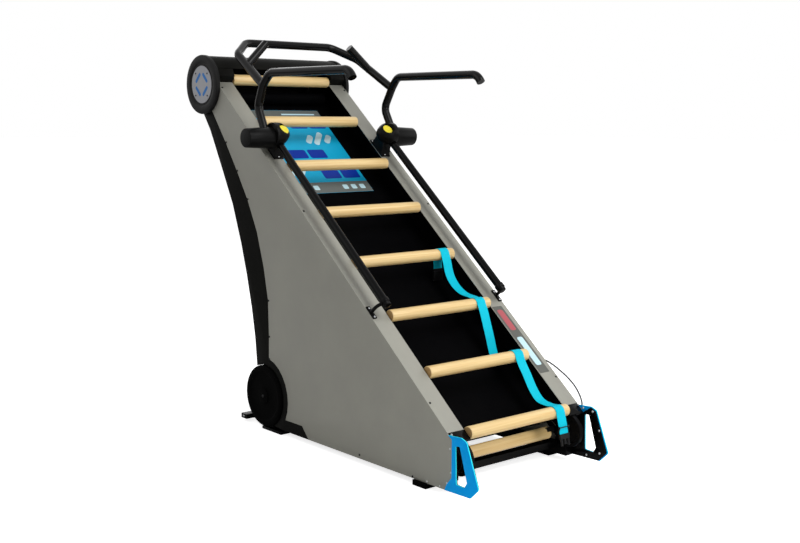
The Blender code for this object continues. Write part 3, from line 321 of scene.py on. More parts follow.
# The head's radius is 1 here, and each copy is scaled to its own.
screw_head = turn([(-0.3, 0), (-0.3, 0.98), (0.02, 1.0), (0.22, 0.97), (0.40, 0.86), (0.52, 0.68),
                   (0.56, 0.50), (0.30, 0.46), (0.26, 0)], (0, 0, 0), steps=18)
zinc_plate = sprayed('zinc_plated_steel', '#b4b6b8', '#c6c8ca', roughness=0.34, peel=0.0009, depth=0.00002)
zinc_plate.node_tree.nodes['Principled BSDF'].inputs['Metallic'].default_value = 1.0
black_oxide = sprayed('black_oxide_steel', '#161617', '#1c1c1d', roughness=0.42, peel=0.0009, depth=0.00002,
                      gloss=0.2)
for sign, word in SIDES:
    flat = Vector((sign, 0, 0))
    dark = [(ladder(sign * STRIP_SCREW_X, along, STRIP_FACE), OUTWARD) for along in STRIP_SCREWS]
    dark += [(side(sign * PANEL_FACE, *place), flat) for place in (*SEAM_SCREWS, *SILL_SCREWS)]
    screws('panel_screws_' + word, dark, black_oxide, radius=0.0048)
    bright = [(side(sign * PANEL_FACE, *place), flat) for place in CORNER_BOLTS]
    screws('corner_bolts_' + word, bright, zinc_plate, radius=0.0040)

# Black covers
# The skin behind the panels with its wheel arches, and the C-shaped cover over the top shaft: folded sheet
# steel in satin black paint, which shows a soft grey light where it faces up and little else.
satin_black = sprayed('satin_black_paint', '#141413', '#181816', roughness=0.46, peel=0.0018, depth=0.00005,
                      gloss=0.02)
for name in ('back_cover', 'drum_cover'):
    eased(name, satin_black, 'frame', edge_width=0.0007)

# End caps
# A moulded dark ring on each end of the top cover, with a flat paler disc let into it, four bolts and plain
# blue bars of printed vinyl on the disc. The ring's ABS has a fine dull grain, and the disc a satin skin.
CAP_GAP = 0.0003
CAP_DEPTH = 0.0197
CAP_LIP_RADIUS = 0.104
CAP_FLOOR = 0.0160
CAP_FLOOR_RADIUS = 0.0995
DISC_RADIUS = 0.088
DISC_RIM_RADIUS = 0.060
DISC_RIM = 0.0180
DISC_FACE = 0.0174
CAP_BOLT_CIRCLE = 0.073
CAP_BOLT_TURNS = (0.8, 2.37, 3.94, 5.51)
# A bar's width, height and corner, and how far it lies from the middle.
CAP_BAR = (0.060, 0.016, 0.0078)
CAP_BAR_REACH = 0.044
PRINT_THICKNESS = 0.0004


def patch(wide, high, corner, place):
    """A piece of print: a thin slab with rounded corners, laid down by its place."""
    bpy.ops.object.select_all(action='DESELECT')
    bpy.ops.mesh.primitive_plane_add(size=1)
    piece = bpy.context.object
    piece.scale = (wide, high, 1)
    bpy.ops.object.transform_apply(location=False, rotation=False, scale=True)
    bpy.ops.object.mode_set(mode='EDIT')
    bpy.ops.mesh.select_all(action='SELECT')
    bpy.ops.mesh.bevel(offset=corner, segments=4, affect='VERTICES')
    bpy.ops.mesh.select_all(action='SELECT')
    bpy.ops.mesh.extrude_region_move(TRANSFORM_OT_translate={'value': (0, 0, PRINT_THICKNESS)})
    bpy.ops.mesh.select_all(action='SELECT')
    bpy.ops.mesh.normals_make_consistent(inside=False)
    bpy.ops.object.mode_set(mode='OBJECT')
    piece.matrix_world = place
    return piece


def inked(name, dark, light, gloss):
    """Printed vinyl: an even colour with hardly any grain, under a slight sheen."""
    return sprayed(name, dark, light, roughness=0.34, peel=0.0010, depth=0.00001, gloss=gloss)


moulded_grey = sprayed('moulded_dark_grey_abs', '#161616', '#1c1c1c', roughness=0.46, peel=0.0012,
                       depth=0.00007, gloss=0.10)
satin_disc = sprayed('satin_grey_disc', '#9a9ba0', '#a4a5aa', roughness=0.38, peel=0.0010, depth=0.00004)
blue_print = inked('blue_printed_vinyl', '#1469b4', '#1871bc', gloss=0.3)
for sign, word in SIDES:
    low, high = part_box('end_cap_' + word)
    centre = (low + high) / 2
    radius = (high.z - low.z) / 2
    near = PANEL_FACE + CAP_GAP
    start = (0, centre.y, centre.z)
    outward = (sign, 0, 0)
    ring = turn([(near, 0), (near, radius - 0.001), (near + 0.001, radius),
                 (near + CAP_DEPTH - 0.0052, radius), (near + CAP_DEPTH - 0.0017, radius - 0.0014),
                 (near + CAP_DEPTH, radius - 0.0050), (near + CAP_DEPTH, CAP_LIP_RADIUS),
                 (near + CAP_DEPTH - 0.0011, CAP_LIP_RADIUS - 0.0025),
                 (near + CAP_FLOOR, CAP_FLOOR_RADIUS), (near + CAP_FLOOR, 0)], start, outward, steps=96)
    settle(ring, 'end_cap_ring_' + word, [moulded_grey], 'frame', ['end_cap_' + word])
    disc = turn([(near + CAP_FLOOR - 0.0005, 0), (near + CAP_FLOOR - 0.0005, DISC_RADIUS),
                 (near + DISC_RIM - 0.0008, DISC_RADIUS), (near + DISC_RIM, DISC_RADIUS - 0.001),
                 (near + DISC_RIM, DISC_RIM_RADIUS), (near + DISC_FACE, DISC_RIM_RADIUS - 0.0008),
                 (near + DISC_FACE, 0)], start, outward, steps=96)
    settle(disc, 'end_cap_disc_' + word, [satin_disc], 'frame')
    spots = []
    for turned in CAP_BOLT_TURNS:
        reach = CAP_BOLT_CIRCLE * Vector((0, math.cos(turned), math.sin(turned)))
        spots.append((Vector((sign * (near + DISC_RIM - 0.0001), centre.y, centre.z)) + reach, outward))
    screws('end_cap_bolts_' + word, spots, black_oxide, radius=0.0042)
    disc_face = Matrix.Translation((sign * (near + DISC_FACE - 0.0002), centre.y, centre.z))
    facing = Vector(outward).to_track_quat('Z', 'Y').to_matrix().to_4x4()
    bars = []
    for quarter in range(4):
        turned = Matrix.Rotation(math.radians(45 + 90 * quarter), 4, 'Z')
        bars.append(patch(*CAP_BAR, disc_face @ facing @ turned @ Matrix.Translation((0, CAP_BAR_REACH, 0))))
    settle(together(bars), 'end_cap_print_' + word, [blue_print], 'frame')

# Back board and placard
# A sheet of matt black board closes the housing behind the front rungs and looks like a dark gap. A placard
# of printed vinyl is stuck to its upper part, in flat colours: cyan, with grey bands, navy and pale bars.
BOARD_FACE = -0.1165
PLACARD_X = -0.0065
PLACARD_WIDTH = 0.469
PLACARD_LOW, PLACARD_HIGH = 1.459, 2.052
FOOT_BAND, FOOT_BAND_HEIGHT = 1.4955, 0.071
HEAD_BAND, HEAD_BAND_HEIGHT = 2.0215, 0.059
# Places on the placard, across and along the ladder, with the width of each pale bar.
NAVY_PANELS = ((0.160, 1.945), (0.048, 1.945), (-0.176, 1.730), (-0.064, 1.730), (0.048, 1.730),
               (0.160, 1.585), (0.048, 1.585))
PALE_BARS = ((-0.205, 1.900, 0.070), (-0.150, 1.895, 0.110), (-0.095, 1.900, 0.070), (0.060, 1.835, 0.070),
             (0.115, 1.840, 0.110), (0.170, 1.835, 0.070), (-0.170, 1.600, 0.070), (-0.115, 1.600, 0.070))
PALE_SQUARES = (-0.19, -0.14, -0.09, 0.08, 0.13, 0.18)
# A patch's width, height and corner.
NAVY_PANEL = (0.100, 0.060, 0.010)
PALE_SQUARE = (0.030, 0.030, 0.006)
PALE_BAR_HEIGHT, PALE_BAR_CORNER, PALE_BAR_LEAN = 0.030, 0.014, 52


def printed(name, patches, surface, above, sheet_face=BOARD_FACE):
    """Patches of one colour above a sheet, each (x, along, wide, high, corner, turn in degrees)."""
    pieces = []
    for x, along, wide, high, corner, turned in patches:
        middle = ladder(x, along, sheet_face + above)
        flat = Matrix.Translation(middle) @ Matrix.Rotation(LADDER_ANGLE, 4, 'X')
        pieces.append(patch(wide, high, corner, flat @ Matrix.Rotation(math.radians(turned), 4, 'Z')))
    settle(together(pieces), name, [surface], 'frame')


board_black = sprayed('matt_black_sheet', '#030304', '#060607', roughness=0.55, peel=0.0022, depth=0.00006,
                      gloss=0.01)
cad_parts['back_board'].data.materials[0] = board_black
cyan_print = inked('cyan_printed_vinyl', '#12a6d2', '#18aeda', gloss=0.12)
navy_print = inked('navy_printed_vinyl', '#0a2f9a', '#0e37a2', gloss=0.12)
pale_print = inked('pale_printed_vinyl', '#c4e6f0', '#cdeaf2', gloss=0.12)
grey_print = inked('grey_printed_vinyl', '#666b68', '#6c716e', gloss=0.12)
sheet = (PLACARD_X, (PLACARD_LOW + PLACARD_HIGH) / 2, PLACARD_WIDTH, PLACARD_HIGH - PLACARD_LOW, 0.004, 0)
printed('placard', [sheet], cyan_print, above=0.0001)
bands = [(PLACARD_X, FOOT_BAND, PLACARD_WIDTH - 0.001, FOOT_BAND_HEIGHT, 0.003, 0),
         (PLACARD_X, HEAD_BAND, PLACARD_WIDTH - 0.001, HEAD_BAND_HEIGHT, 0.003, 0)]
printed('placard_bands', bands, grey_print, above=0.0003)
panels = [(x, along, *NAVY_PANEL, 0) for x, along in NAVY_PANELS]
printed('placard_panels', panels, navy_print, above=0.0003)
bars = [(x, along, wide, PALE_BAR_HEIGHT, PALE_BAR_CORNER, PALE_BAR_LEAN) for x, along, wide in PALE_BARS]
bars.append((PLACARD_X + 0.10, HEAD_BAND, 0.20, 0.010, 0.0045, 0))
printed('placard_bars', bars, pale_print, above=0.0004)
squares = [(x, FOOT_BAND, *PALE_SQUARE, 0) for x in PALE_SQUARES]
printed('placard_squares', squares, pale_print, above=0.0005)

# Print on the right strip
# A plain dark grey band of printed vinyl, stuck to the strip beside the lower rungs, with one soft red and
# one pale blue bar on it. The film is smooth and a little glossier than the placard.
STRIP_PRINT_X = 0.3180
red_print = inked('soft_red_printed_vinyl', '#b0525a', '#b65a60', gloss=0.2)
strip_grey = inked('dark_grey_printed_vinyl', '#5a5b56', '#60615c', gloss=0.2)
band = (STRIP_PRINT_X, 0.3895, 0.058, 0.383, 0.004, 0)
red_bar = (STRIP_PRINT_X, 0.5000, 0.034, 0.120, 0.010, 0)
blue_bar = (STRIP_PRINT_X, 0.3200, 0.034, 0.160, 0.010, 0)
printed('strip_band', [band], strip_grey, above=0.0001, sheet_face=STRIP_FACE)
printed('strip_bar_red', [red_bar], red_print, above=0.0003, sheet_face=STRIP_FACE)
printed('strip_bar_blue', [blue_bar], pale_print, above=0.0003, sheet_face=STRIP_FACE)

# Rungs
# Ash dowels, turned, eased at the ends and lacquered: pale straw wood with long grain under a soft clear
# coat, and darker end grain. Each end is bolted to a powder-coated steel lug on the chain.
RUNG_RADIUS = 0.0254
RUNG_PITCH = 0.3048
RUNG_HALF = 0.2806
RUNG_EASE = 0.0030
FRONT_RUNGS = 8
# The shafts lie this far behind the front run, and the return run as far behind the shafts.
SHAFT_DEPTH = 0.07699
LUG_END = 0.3024
LUG_GRIP = 0.024
LUG_BACK = 0.0160
LUG_WIDTH, LUG_THICKNESS = 0.022, 0.019
GRAIN_LENGTH, GRAIN_WIDTH = 0.4167, 0.00909
# Pores are drawn 1 mm across, coarser than real ones, so that they show.
PORES_TO_A_GRAIN = 9.0
RING_WIDTH = 0.00625


def block(size, edge):
    """A box round the origin with its edges rounded off."""
    bpy.ops.object.select_all(action='DESELECT')
    bpy.ops.mesh.primitive_cube_add(size=1)
    piece = bpy.context.object
    piece.scale = size
    bpy.ops.object.transform_apply(location=False, rotation=False, scale=True)
    bpy.ops.object.mode_set(mode='EDIT')
    bpy.ops.mesh.select_all(action='SELECT')
    bpy.ops.mesh.bevel(offset=edge, segments=2)
    bpy.ops.object.mode_set(mode='OBJECT')
    return piece


ash, ash_shader = finish('lacquered_ash', {'Roughness': 0.42, 'Coat Weight': 0.15, 'Coat Roughness': 0.3})
place = node(ash, 'TexCoord')
along_grain = node(ash, 'Mapping', {'Scale': (1 / GRAIN_LENGTH, 1 / GRAIN_WIDTH, 1 / GRAIN_WIDTH)},
                   {'Vector': place.outputs['Object']})
figure = node(ash, 'TexNoise', {'Scale': 1.0, 'Detail': 5.0, 'Roughness': 0.55, 'Distortion': 0.6},
              {'Vector': along_grain.outputs['Vector']})
shade = node(ash, 'ValToRGB', None, {'Fac': figure.outputs['Fac']})
shade.color_ramp.elements[0].position = 0.30
shade.color_ramp.elements[0].color = linear('#dcb675')
shade.color_ramp.elements[1].position = 0.62
shade.color_ramp.elements[1].color = linear('#ecce92')
pores = node(ash, 'TexNoise', {'Scale': PORES_TO_A_GRAIN, 'Detail': 2.0},
             {'Vector': along_grain.outputs['Vector']})
bump = node(ash, 'Bump', {'Strength': 0.25, 'Distance': 0.0002}, {'Height': pores.outputs['Fac']})
ash.node_tree.links.new(shade.outputs['Color'], ash_shader.inputs['Base Color'])
ash.node_tree.links.new(bump.outputs['Normal'], ash_shader.inputs['Normal'])
end_grain = sprayed('ash_end_grain', '#a9824f', '#c09a62', roughness=0.60, peel=0.0012, depth=0.00015)
end_grain.node_tree.nodes['Noise Texture'].inputs['Scale'].default_value = 1 / RING_WIDTH
lug_paint = sprayed('black_powder_coated_lug', '#0c0c0c', '#111111', roughness=0.45, peel=0.0012,
                    depth=0.00006, gloss=0.15)
half_dowel = [(RUNG_HALF - RUNG_EASE, RUNG_RADIUS), (RUNG_HALF - 0.0009, RUNG_RADIUS - 0.0009),
              (RUNG_HALF, RUNG_RADIUS - RUNG_EASE), (RUNG_HALF, 0)]
dowel = [(-x, radius) for x, radius in reversed(half_dowel)] + half_dowel
for number in range(1, 2 * FRONT_RUNGS + 1):
    returning = number > FRONT_RUNGS
    along = (number - FRONT_RUNGS - 1 if returning else FRONT_RUNGS - number) * RUNG_PITCH
    out = -2 * SHAFT_DEPTH if returning else 0.0
    backing = 1 if returning else -1
    body = 'return_run' if returning else 'front_run'
    replaced = [f'rung_{number:02d}']
    rung = turn(dowel, ladder(0, along, out), steps=40)
    settle(rung, f'rung_wood_{number:02d}', [ash, end_grain], body, replaced)
    for face in rung.data.polygons:
        face.material_index = int(abs(face.normal.x) > 0.95)
    lugs = []
    for sign, _ in SIDES:
        lug = block((LUG_END - RUNG_HALF + LUG_GRIP, LUG_WIDTH, LUG_THICKNESS), edge=0.0016)
        middle = ladder(sign * (LUG_END + RUNG_HALF - LUG_GRIP) / 2, along, out + backing * LUG_BACK)
        lug.matrix_world = Matrix.Translation(middle) @ Matrix.Rotation(LADDER_ANGLE, 4, 'X')
        lugs.append(lug)
    settle(together(lugs), f'rung_lugs_{number:02d}', [lug_paint], body, replaced)

# Drive inside the housing
# Blued and oiled roller chains and sprockets on ground shafts, with a brake disc on the top one, carried by
# black powder-coated inner plates. The steel is dark from blueing and oil, and painted darker still, nearly
# black, as painted shade inside the housing.
# Painted shade: the drive's steel is drawn nearly black so that it reads as the shade inside the housing.
drive_steel_painted_shade = sprayed('oiled_steel_painted_shade', '#080809', '#0c0c0d', roughness=0.40, peel=0.0012, depth=0.00003,
                      gloss=0.05)
for name in ('chain_left', 'chain_right', 'top_shaft', 'brake_disc', 'wheel_axle', 'top_sprocket_left',
             'top_sprocket_right', 'bottom_sprocket_left', 'bottom_sprocket_right'):
    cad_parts[name].data.materials[0] = drive_steel_painted_shade
powder_black = sprayed('black_powder_coat', '#060606', '#09090a', roughness=0.22, peel=0.0013, depth=0.00004,
                       gloss=0.08)
for _, word in SIDES:
    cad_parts['liner_plate_' + word].data.materials[0] = powder_black

# Base
# A welded steel frame inside the panels, whose foot plates reach out under the wheels, and behind it a flat
# stabiliser with a bolt in each end. The powder coat is smooth, and the front feet's moulded rubber dull.
STABILISER_BOLT_IN = 0.022
black_rubber = sprayed('black_rubber', '#070707', '#0b0b0b', roughness=0.70, peel=0.0016, depth=0.00012,
                       gloss=0.01)
eased('base_frame', powder_black, 'frame', edge_width=0.0012)
eased('rear_stabiliser', powder_black, 'frame', edge_width=0.0015)
low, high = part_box('rear_stabiliser')
spots = []
for sign, _ in SIDES:
    spots.append((Vector((sign * high.x, high.y - STABILISER_BOLT_IN, (low.z + high.z) / 2)), (sign, 0, 0)))
screws('stabiliser_bolts', spots, zinc_plate, radius=0.0050)
for _, word in SIDES:
    eased('front_foot_' + word, black_rubber, 'frame', edge_width=0.0015)

# Transport wheels
# Solid moulded rubber wheels on the fixed axle, with two grooves round the tread, a shallow dished face, a
# raised rim, and a boss whose bolt covers the axle's end. The rubber is as dull as that of the feet.
WHEEL_WIDTH = 0.0385
WHEEL_BORE = 0.0105
HUB_RADIUS = 0.026
BOSS_RADIUS = 0.032
BOLT_SEAT = 0.012
GROOVE_DEPTH = 0.0022
for sign, word in SIDES:
    low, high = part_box('wheel_' + word)
    centre = (low + high) / 2
    radius = (high.z - low.z) / 2
    groove = radius - GROOVE_DEPTH
    outer = max(abs(low.x), abs(high.x))
    inner = outer - WHEEL_WIDTH
    hub = [(outer - 0.006, 0), (outer - 0.006, WHEEL_BORE), (inner - 0.004, WHEEL_BORE),
           (inner - 0.004, HUB_RADIUS), (inner, HUB_RADIUS + 0.0005)]
    tread = [(inner, radius - 0.010), (inner + 0.002, radius - 0.004), (inner + 0.006, radius - 0.0005),
             (inner + 0.012, radius), (inner + 0.0125, groove), (inner + 0.0145, groove),
             (inner + 0.015, radius), (outer - 0.015, radius), (outer - 0.0145, groove),
             (outer - 0.0125, groove), (outer - 0.012, radius)]
    rim = [(outer - 0.006, radius - 0.0010), (outer - 0.002, radius - 0.005), (outer, radius - 0.011),
           (outer, radius - 0.024), (outer - 0.0015, radius - 0.028), (outer - 0.007, radius - 0.034),
           (outer - 0.008, radius - 0.038)]
    boss = [(outer - 0.008, BOSS_RADIUS + 0.010), (outer - 0.0070, BOSS_RADIUS + 0.005),
            (outer - 0.0010, BOSS_RADIUS + 0.002), (outer, BOSS_RADIUS), (outer, BOLT_SEAT),
            (outer - 0.0012, BOLT_SEAT - 0.001), (outer - 0.0012, 0)]
    wheel = turn([*hub, *tread, *rim, *boss], (0, centre.y, centre.z), (sign, 0, 0), steps=96)
    settle(wheel, 'wheel_body_' + word, [black_rubber], 'wheel_' + word, ['wheel_' + word])
    spots = [(Vector((sign * (outer - 0.0012), centre.y, centre.z)), (sign, 0, 0))]
    screws('wheel_bolt_' + word, spots, black_oxide, radius=0.0075, body='wheel_' + word)

# Lift handles
# Moulded blue nylon plates at the front corners, to tip the machine onto its wheels, each bolted to a black
# steel plate that folds over beside the lowest rung. The nylon is bright and half dull, and its edge faces
# are painted a paler cyan as painted highlight.
HANDLE_BOLT_X = 0.3632
HANDLE_BOLTS = ((0.0028, 0.2421), (-0.0230, 0.2340), (-0.0748, 0.2284), (-0.1116, 0.1553), (-0.1169, 0.0598),
                (-0.0481, 0.0390))
blue_nylon = sprayed('moulded_blue_nylon', '#00a8ff', '#00acff', roughness=0.45, peel=0.0010, depth=0.00005,
                     gloss=0.05)
# Painted highlight: a paler cyan for the handles' edge faces, standing in for the lamp's light on them.
painted_highlight_edge = sprayed('blue_nylon_painted_highlight_edge', '#2cecff', '#38f0ff', roughness=0.45, peel=0.0010,
                    depth=0.00005, gloss=0.05)
for sign, word in SIDES:
    grip = eased('lift_handle_' + word, blue_nylon, 'frame', edge_width=0.0022)
    # The edge faces take the painted highlight colour.
    grip.data.materials.append(painted_highlight_edge)
    for face in grip.data.polygons:
        face.material_index = int(abs(face.normal.x) < 0.9)
    eased('handle_plate_' + word, powder_black, 'frame', edge_width=0.0008)
    bolts = [(side(sign * HANDLE_BOLT_X, *place), (-sign, 0, 0)) for place in HANDLE_BOLTS]
    screws('handle_bolts_' + word, bolts, zinc_plate, radius=0.0050)

# Pivot housings and release buttons
# A moulded black hub is bolted to each strip and carries the handlebar's pin. Its round yellow button frees
# the bars to tilt. Both are ABS with a fine grain, the black a little glossy, the yellow even and bright.
BUTTON_RADIUS = 0.0245
BUTTON_HALF = 0.0030
BUTTON_LEAN = math.radians(138)
BUTTON_WAY = Vector((0, math.cos(BUTTON_LEAN), math.sin(BUTTON_LEAN)))
HEAD_BOLTS = ((0.309, 1.581), (0.295, 1.678))
HEAD_BOLT_OUT = 0.0059
moulded_black = sprayed('moulded_black_abs', '#0a0a0a', '#0e0e0e', roughness=0.32, peel=0.0011, depth=0.00006,
                        gloss=0.07)
yellow_abs = sprayed('moulded_yellow_abs', '#efdc2c', '#f4e338', roughness=0.38, peel=0.0011, depth=0.00005)
button = [(-BUTTON_HALF, 0), (-BUTTON_HALF, BUTTON_RADIUS - 0.0007), (-0.0024, BUTTON_RADIUS),
          (0.0010, BUTTON_RADIUS), (0.0024, BUTTON_RADIUS - 0.0006), (BUTTON_HALF, BUTTON_RADIUS - 0.0020),
          (BUTTON_HALF, BUTTON_RADIUS - 0.0055), (0.0026, BUTTON_RADIUS - 0.0063), (0.0026, 0)]
for sign, word in SIDES:
    eased('pivot_housing_' + word, moulded_black, 'frame', edge_width=0.0010)
    low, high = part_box('release_button_' + word)
    cap = turn(button, (low + high) / 2, BUTTON_WAY)
    settle(cap, 'button_cap_' + word, [yellow_abs], 'release_button_' + word,
           ['release_button_' + word])
    bolts = [(ladder(sign * x, along, HEAD_BOLT_OUT), OUTWARD) for x, along in HEAD_BOLTS]
    screws('head_bolts_' + word, bolts, zinc_plate, radius=0.0048)

# Handlebars
# Bent steel tube: two uprights that lean forward into hand grips, joined by a bridge over the top with two
# short stubs. Each upright is welded into a turned barrel outside its hub. The powder coat is glossy.
BAR_RADIUS = 0.019
STUB_RADIUS = 0.0185
UPRIGHT_BEND, BRIDGE_BEND = 0.060, 0.065
# A bend takes at most this share of a run with a bend at each end, and of the last run.
BEND_SHARE, LAST_SHARE = 0.45, 0.98
BODY_HALF_WIDTH = 0.3714
PIVOT = side(0, 1.216, 1.334)
# Places in from the panel's face, behind the pivot and above it.
UPRIGHT = ((0.0000, -0.001, 0.000), (0.0041, 0.072, 0.1365), (-0.0014, 0.020, 0.236), (0.0038, -0.026, 0.285),
           (0.0107, -0.5795, 0.285), (0.0099, -0.6033, 0.251))
BRIDGE = ((-0.0014, 0.022, 0.232), (0.0221, 0.2644, 0.3759), (0.1236, 0.3528, 0.4335))
STUB = ((0.0149, 0.175, 0.3215), (0.1301, 0.1914, 0.4266))
BARREL_START = 0.3503
BARREL_FLOOR = BARREL_START + 0.0455
BARREL_END = cad_high.x
BARREL_RADIUS = 0.0485
BARREL_RIM = 0.0425
BARREL_BORE = 0.0145


def bent(points, radius, steps):
    """A route of straight runs with a round bend at each inner point, tighter where a run is short."""
    route = [points[0]]
    for before, corner, after in zip(points, points[1:], points[2:]):
        toward, away = before - corner, after - corner
        half = toward.angle(away) / 2
        share = LAST_SHARE if after is points[-1] else BEND_SHARE
        reach = min(radius / math.tan(half), BEND_SHARE * toward.length, share * away.length)
        centre = corner + (toward.normalized() + away.normalized()).normalized() * reach / math.cos(half)
        first = corner + toward.normalized() * reach - centre
        last = corner + away.normalized() * reach - centre
        axis = first.cross(last)
        for i in range(steps + 1):
            route.append(centre + Matrix.Rotation(first.angle(last) * i / steps, 3, axis) @ first)
    return [*route, points[-1]]


def tube(route, radius, roundness=6):
    """A round tube along a route, as a closed mesh."""
    bpy.ops.object.select_all(action='DESELECT')
    bpy.ops.curve.primitive_nurbs_path_add()
    piece = bpy.context.object
    piece.data.splines.clear()
    spline = piece.data.splines.new('POLY')
    spline.points.add(len(route) - 1)
    for point, spot in zip(spline.points, route):
        point.co = (*spot, 1)
    piece.data.bevel_depth = radius
    piece.data.bevel_resolution = roundness
    piece.data.use_fill_caps = True
    bpy.ops.object.convert(target='MESH')
    piece = bpy.context.object
    bpy.ops.object.mode_set(mode='EDIT')
    bpy.ops.mesh.select_all(action='SELECT')
    bpy.ops.mesh.remove_doubles(threshold=0.00001)
    bpy.ops.mesh.normals_make_consistent(inside=False)
    bpy.ops.object.mode_set(mode='OBJECT')
    return piece


def from_pivot(sign, places):
    """Points from (in from the panel's face, behind the pivot, above the pivot) ones."""
    return [PIVOT + Vector((sign * (BODY_HALF_WIDTH - inset), back, up)) for inset, back, up in places]


gloss_black = sprayed('gloss_black_powder_coat', '#040404', '#070707', roughness=0.13, peel=0.0013,
                      depth=0.00003, gloss=0.15)
barrel_profile = [(BARREL_START, BARREL_BORE), (BARREL_START, BARREL_RADIUS - 0.0015),
                  (BARREL_START + 0.0010, BARREL_RADIUS - 0.0004), (BARREL_START + 0.0028, BARREL_RADIUS),
                  (BARREL_END - 0.0045, BARREL_RIM), (BARREL_END - 0.0020, BARREL_RIM - 0.0008),
                  (BARREL_END - 0.0006, BARREL_RIM - 0.0022), (BARREL_END - 0.0002, BARREL_RIM - 0.0040),
                  (BARREL_END - 0.0002, 0), (BARREL_FLOOR, 0), (BARREL_FLOOR, BARREL_BORE),
                  (BARREL_START, BARREL_BORE)]
for sign, word in SIDES:
    upright = tube(bent(from_pivot(sign, UPRIGHT), UPRIGHT_BEND, steps=14), BAR_RADIUS)
    settle(upright, 'handlebar_tube_' + word, [gloss_black], 'handlebars',
           ['handlebar_' + word], angle=50)
    barrel = turn(barrel_profile, (0, PIVOT.y, PIVOT.z), (sign, 0, 0), steps=96)
    settle(barrel, 'pivot_barrel_' + word, [moulded_black], 'handlebars',
           ['handlebar_' + word])
half = from_pivot(1, BRIDGE)
far_half = [Vector((-point.x, point.y, point.z)) for point in reversed(half)]
bridge = [tube(bent([*half, *far_half], BRIDGE_BEND, steps=12), BAR_RADIUS)]
for sign, _ in SIDES:
    bridge.append(tube(from_pivot(sign, STUB), STUB_RADIUS))
settle(together(bridge), 'bridge_tube', [gloss_black], 'handlebars', ['handlebar_bridge'],
       angle=50)

# Hand rails
# Steel tubes in sleeves of black nitrile foam, held by the hub above and a bolted steel bracket below. The
# foam has a moulded closed skin, smooth and a little uneven, with a soft streak of light along it.
RAIL_X, RAIL_FOOT, RAIL_OUT = 0.3290, 0.607, 0.0704
RAIL_LENGTH = 0.9777
RAIL_RADIUS = 0.0173
RAIL_STEPS = 40
BRACKET_BOLT_X, BRACKET_BOLT_OUT = 0.3588, 0.0050
BRACKET_BOLTS = (0.659, 0.613)
# The foam's cells are drawn 2.4 mm across, coarser than real ones, so that they show.
CELL = 0.00238
FOAM_BLOTCH = 0.0714
foam, foam_shader = finish('skinned_black_nitrile_foam', {'Roughness': 0.18, 'Specular IOR Level': 0.08})
place = node(foam, 'TexCoord')
cells = node(foam, 'TexVoronoi', {'Scale': 1 / CELL}, {'Vector': place.outputs['Object']})
patches = node(foam, 'TexNoise', {'Scale': 1 / FOAM_BLOTCH, 'Detail': 3.0},
               {'Vector': place.outputs['Object']})
shade = node(foam, 'ValToRGB', None, {'Fac': patches.outputs['Fac']})
shade.color_ramp.elements[0].color = linear('#050505')
shade.color_ramp.elements[1].color = linear('#080808')
bump = node(foam, 'Bump', {'Strength': 0.3, 'Distance': 0.0002}, {'Height': cells.outputs['Distance']})
foam.node_tree.links.new(shade.outputs['Color'], foam_shader.inputs['Base Color'])
foam.node_tree.links.new(bump.outputs['Normal'], foam_shader.inputs['Normal'])
random.seed(7)
for sign, word in SIDES:
    profile = [(0, 0), (0, RAIL_RADIUS - 0.0023), (0.0008, RAIL_RADIUS - 0.0010), (0.0030, RAIL_RADIUS)]
    for i in range(1, RAIL_STEPS):
        along = 0.003 + (RAIL_LENGTH - 0.006) * i / RAIL_STEPS
        profile.append((along, RAIL_RADIUS - 0.0001 + random.uniform(-0.00015, 0.0001)))
    profile += [(RAIL_LENGTH - 0.0030, RAIL_RADIUS), (RAIL_LENGTH - 0.0008, RAIL_RADIUS - 0.0010),
                (RAIL_LENGTH, RAIL_RADIUS - 0.0023), (RAIL_LENGTH, 0)]
    sleeve = turn(profile, ladder(sign * RAIL_X, RAIL_FOOT, RAIL_OUT), (0, COS, SIN), steps=40)
    settle(sleeve, 'foam_sleeve_' + word, [foam], 'frame', ['hand_rail_' + word], angle=60)
    eased('rail_bracket_' + word, powder_black, 'frame', edge_width=0.0006)
    bolts = [(ladder(sign * BRACKET_BOLT_X, along, BRACKET_BOLT_OUT), OUTWARD) for along in BRACKET_BOLTS]
    screws('bracket_bolts_' + word, bolts, zinc_plate, radius=0.0045)

# Strap
# Cyan polypropylene webbing, woven 50 mm wide, draped over the lower rungs and sagging between them, with a
# buckle socket at its upper end and the plug on an adjuster at its lower end. The web is ribbed and dull.
STRAP_X, STRAP_WIDTH, STRAP_THICKNESS = 0.218, 0.050, 0.0016
STRAP_LIFT = 0.0019
STRANDS = 8
# Places of the strap off the rungs, behind the lowest rung and above the floor.
SOCKET_END = ((0.7245, 0.7536), (0.7255, 0.7736), (0.7275, 0.800))
SAG_FIVE_SIX = ((0.664, 0.789), (0.644, 0.732), (0.604, 0.687), (0.552, 0.660), (0.505, 0.653))
SAG_SIX_SEVEN = ((0.425, 0.594), (0.405, 0.540), (0.385, 0.4855), (0.366, 0.430), (0.344, 0.392),
                 (0.316, 0.380), (0.286, 0.396))
SAG_SEVEN_EIGHT = ((0.197, 0.411), (0.163, 0.362), (0.127, 0.308), (0.087, 0.270), (0.042, 0.260))
PLUG_END = ((-0.034, 0.213), (-0.042, 0.185), (-0.0487, 0.155))


def smooth(points, steps):
    """A smooth curve through all the points."""
    ends = [points[0], *points, points[-1]]
    route = []
    for a, b, c, d in zip(ends, ends[1:], ends[2:], ends[3:]):
        for i in range(steps):
            t = i / steps
            route.append(0.5 * (2 * b + (c - a) * t + (2 * a - 5 * b + 4 * c - d) * t ** 2
                                + (3 * b - a - 3 * c + d) * t ** 3))
    route.append(points[-1])
    return route


def over_rung(number, start, end):
    """The strap's centreline over a front rung, between two angles from the back."""
    centre = ladder(0, (FRONT_RUNGS - number) * RUNG_PITCH)
    radius = RUNG_RADIUS + STRAP_LIFT
    angles = [math.radians(start + (end - start) * i / 12) for i in range(13)]
    return [centre + Vector((0, radius * math.cos(angle), radius * math.sin(angle))) for angle in angles]


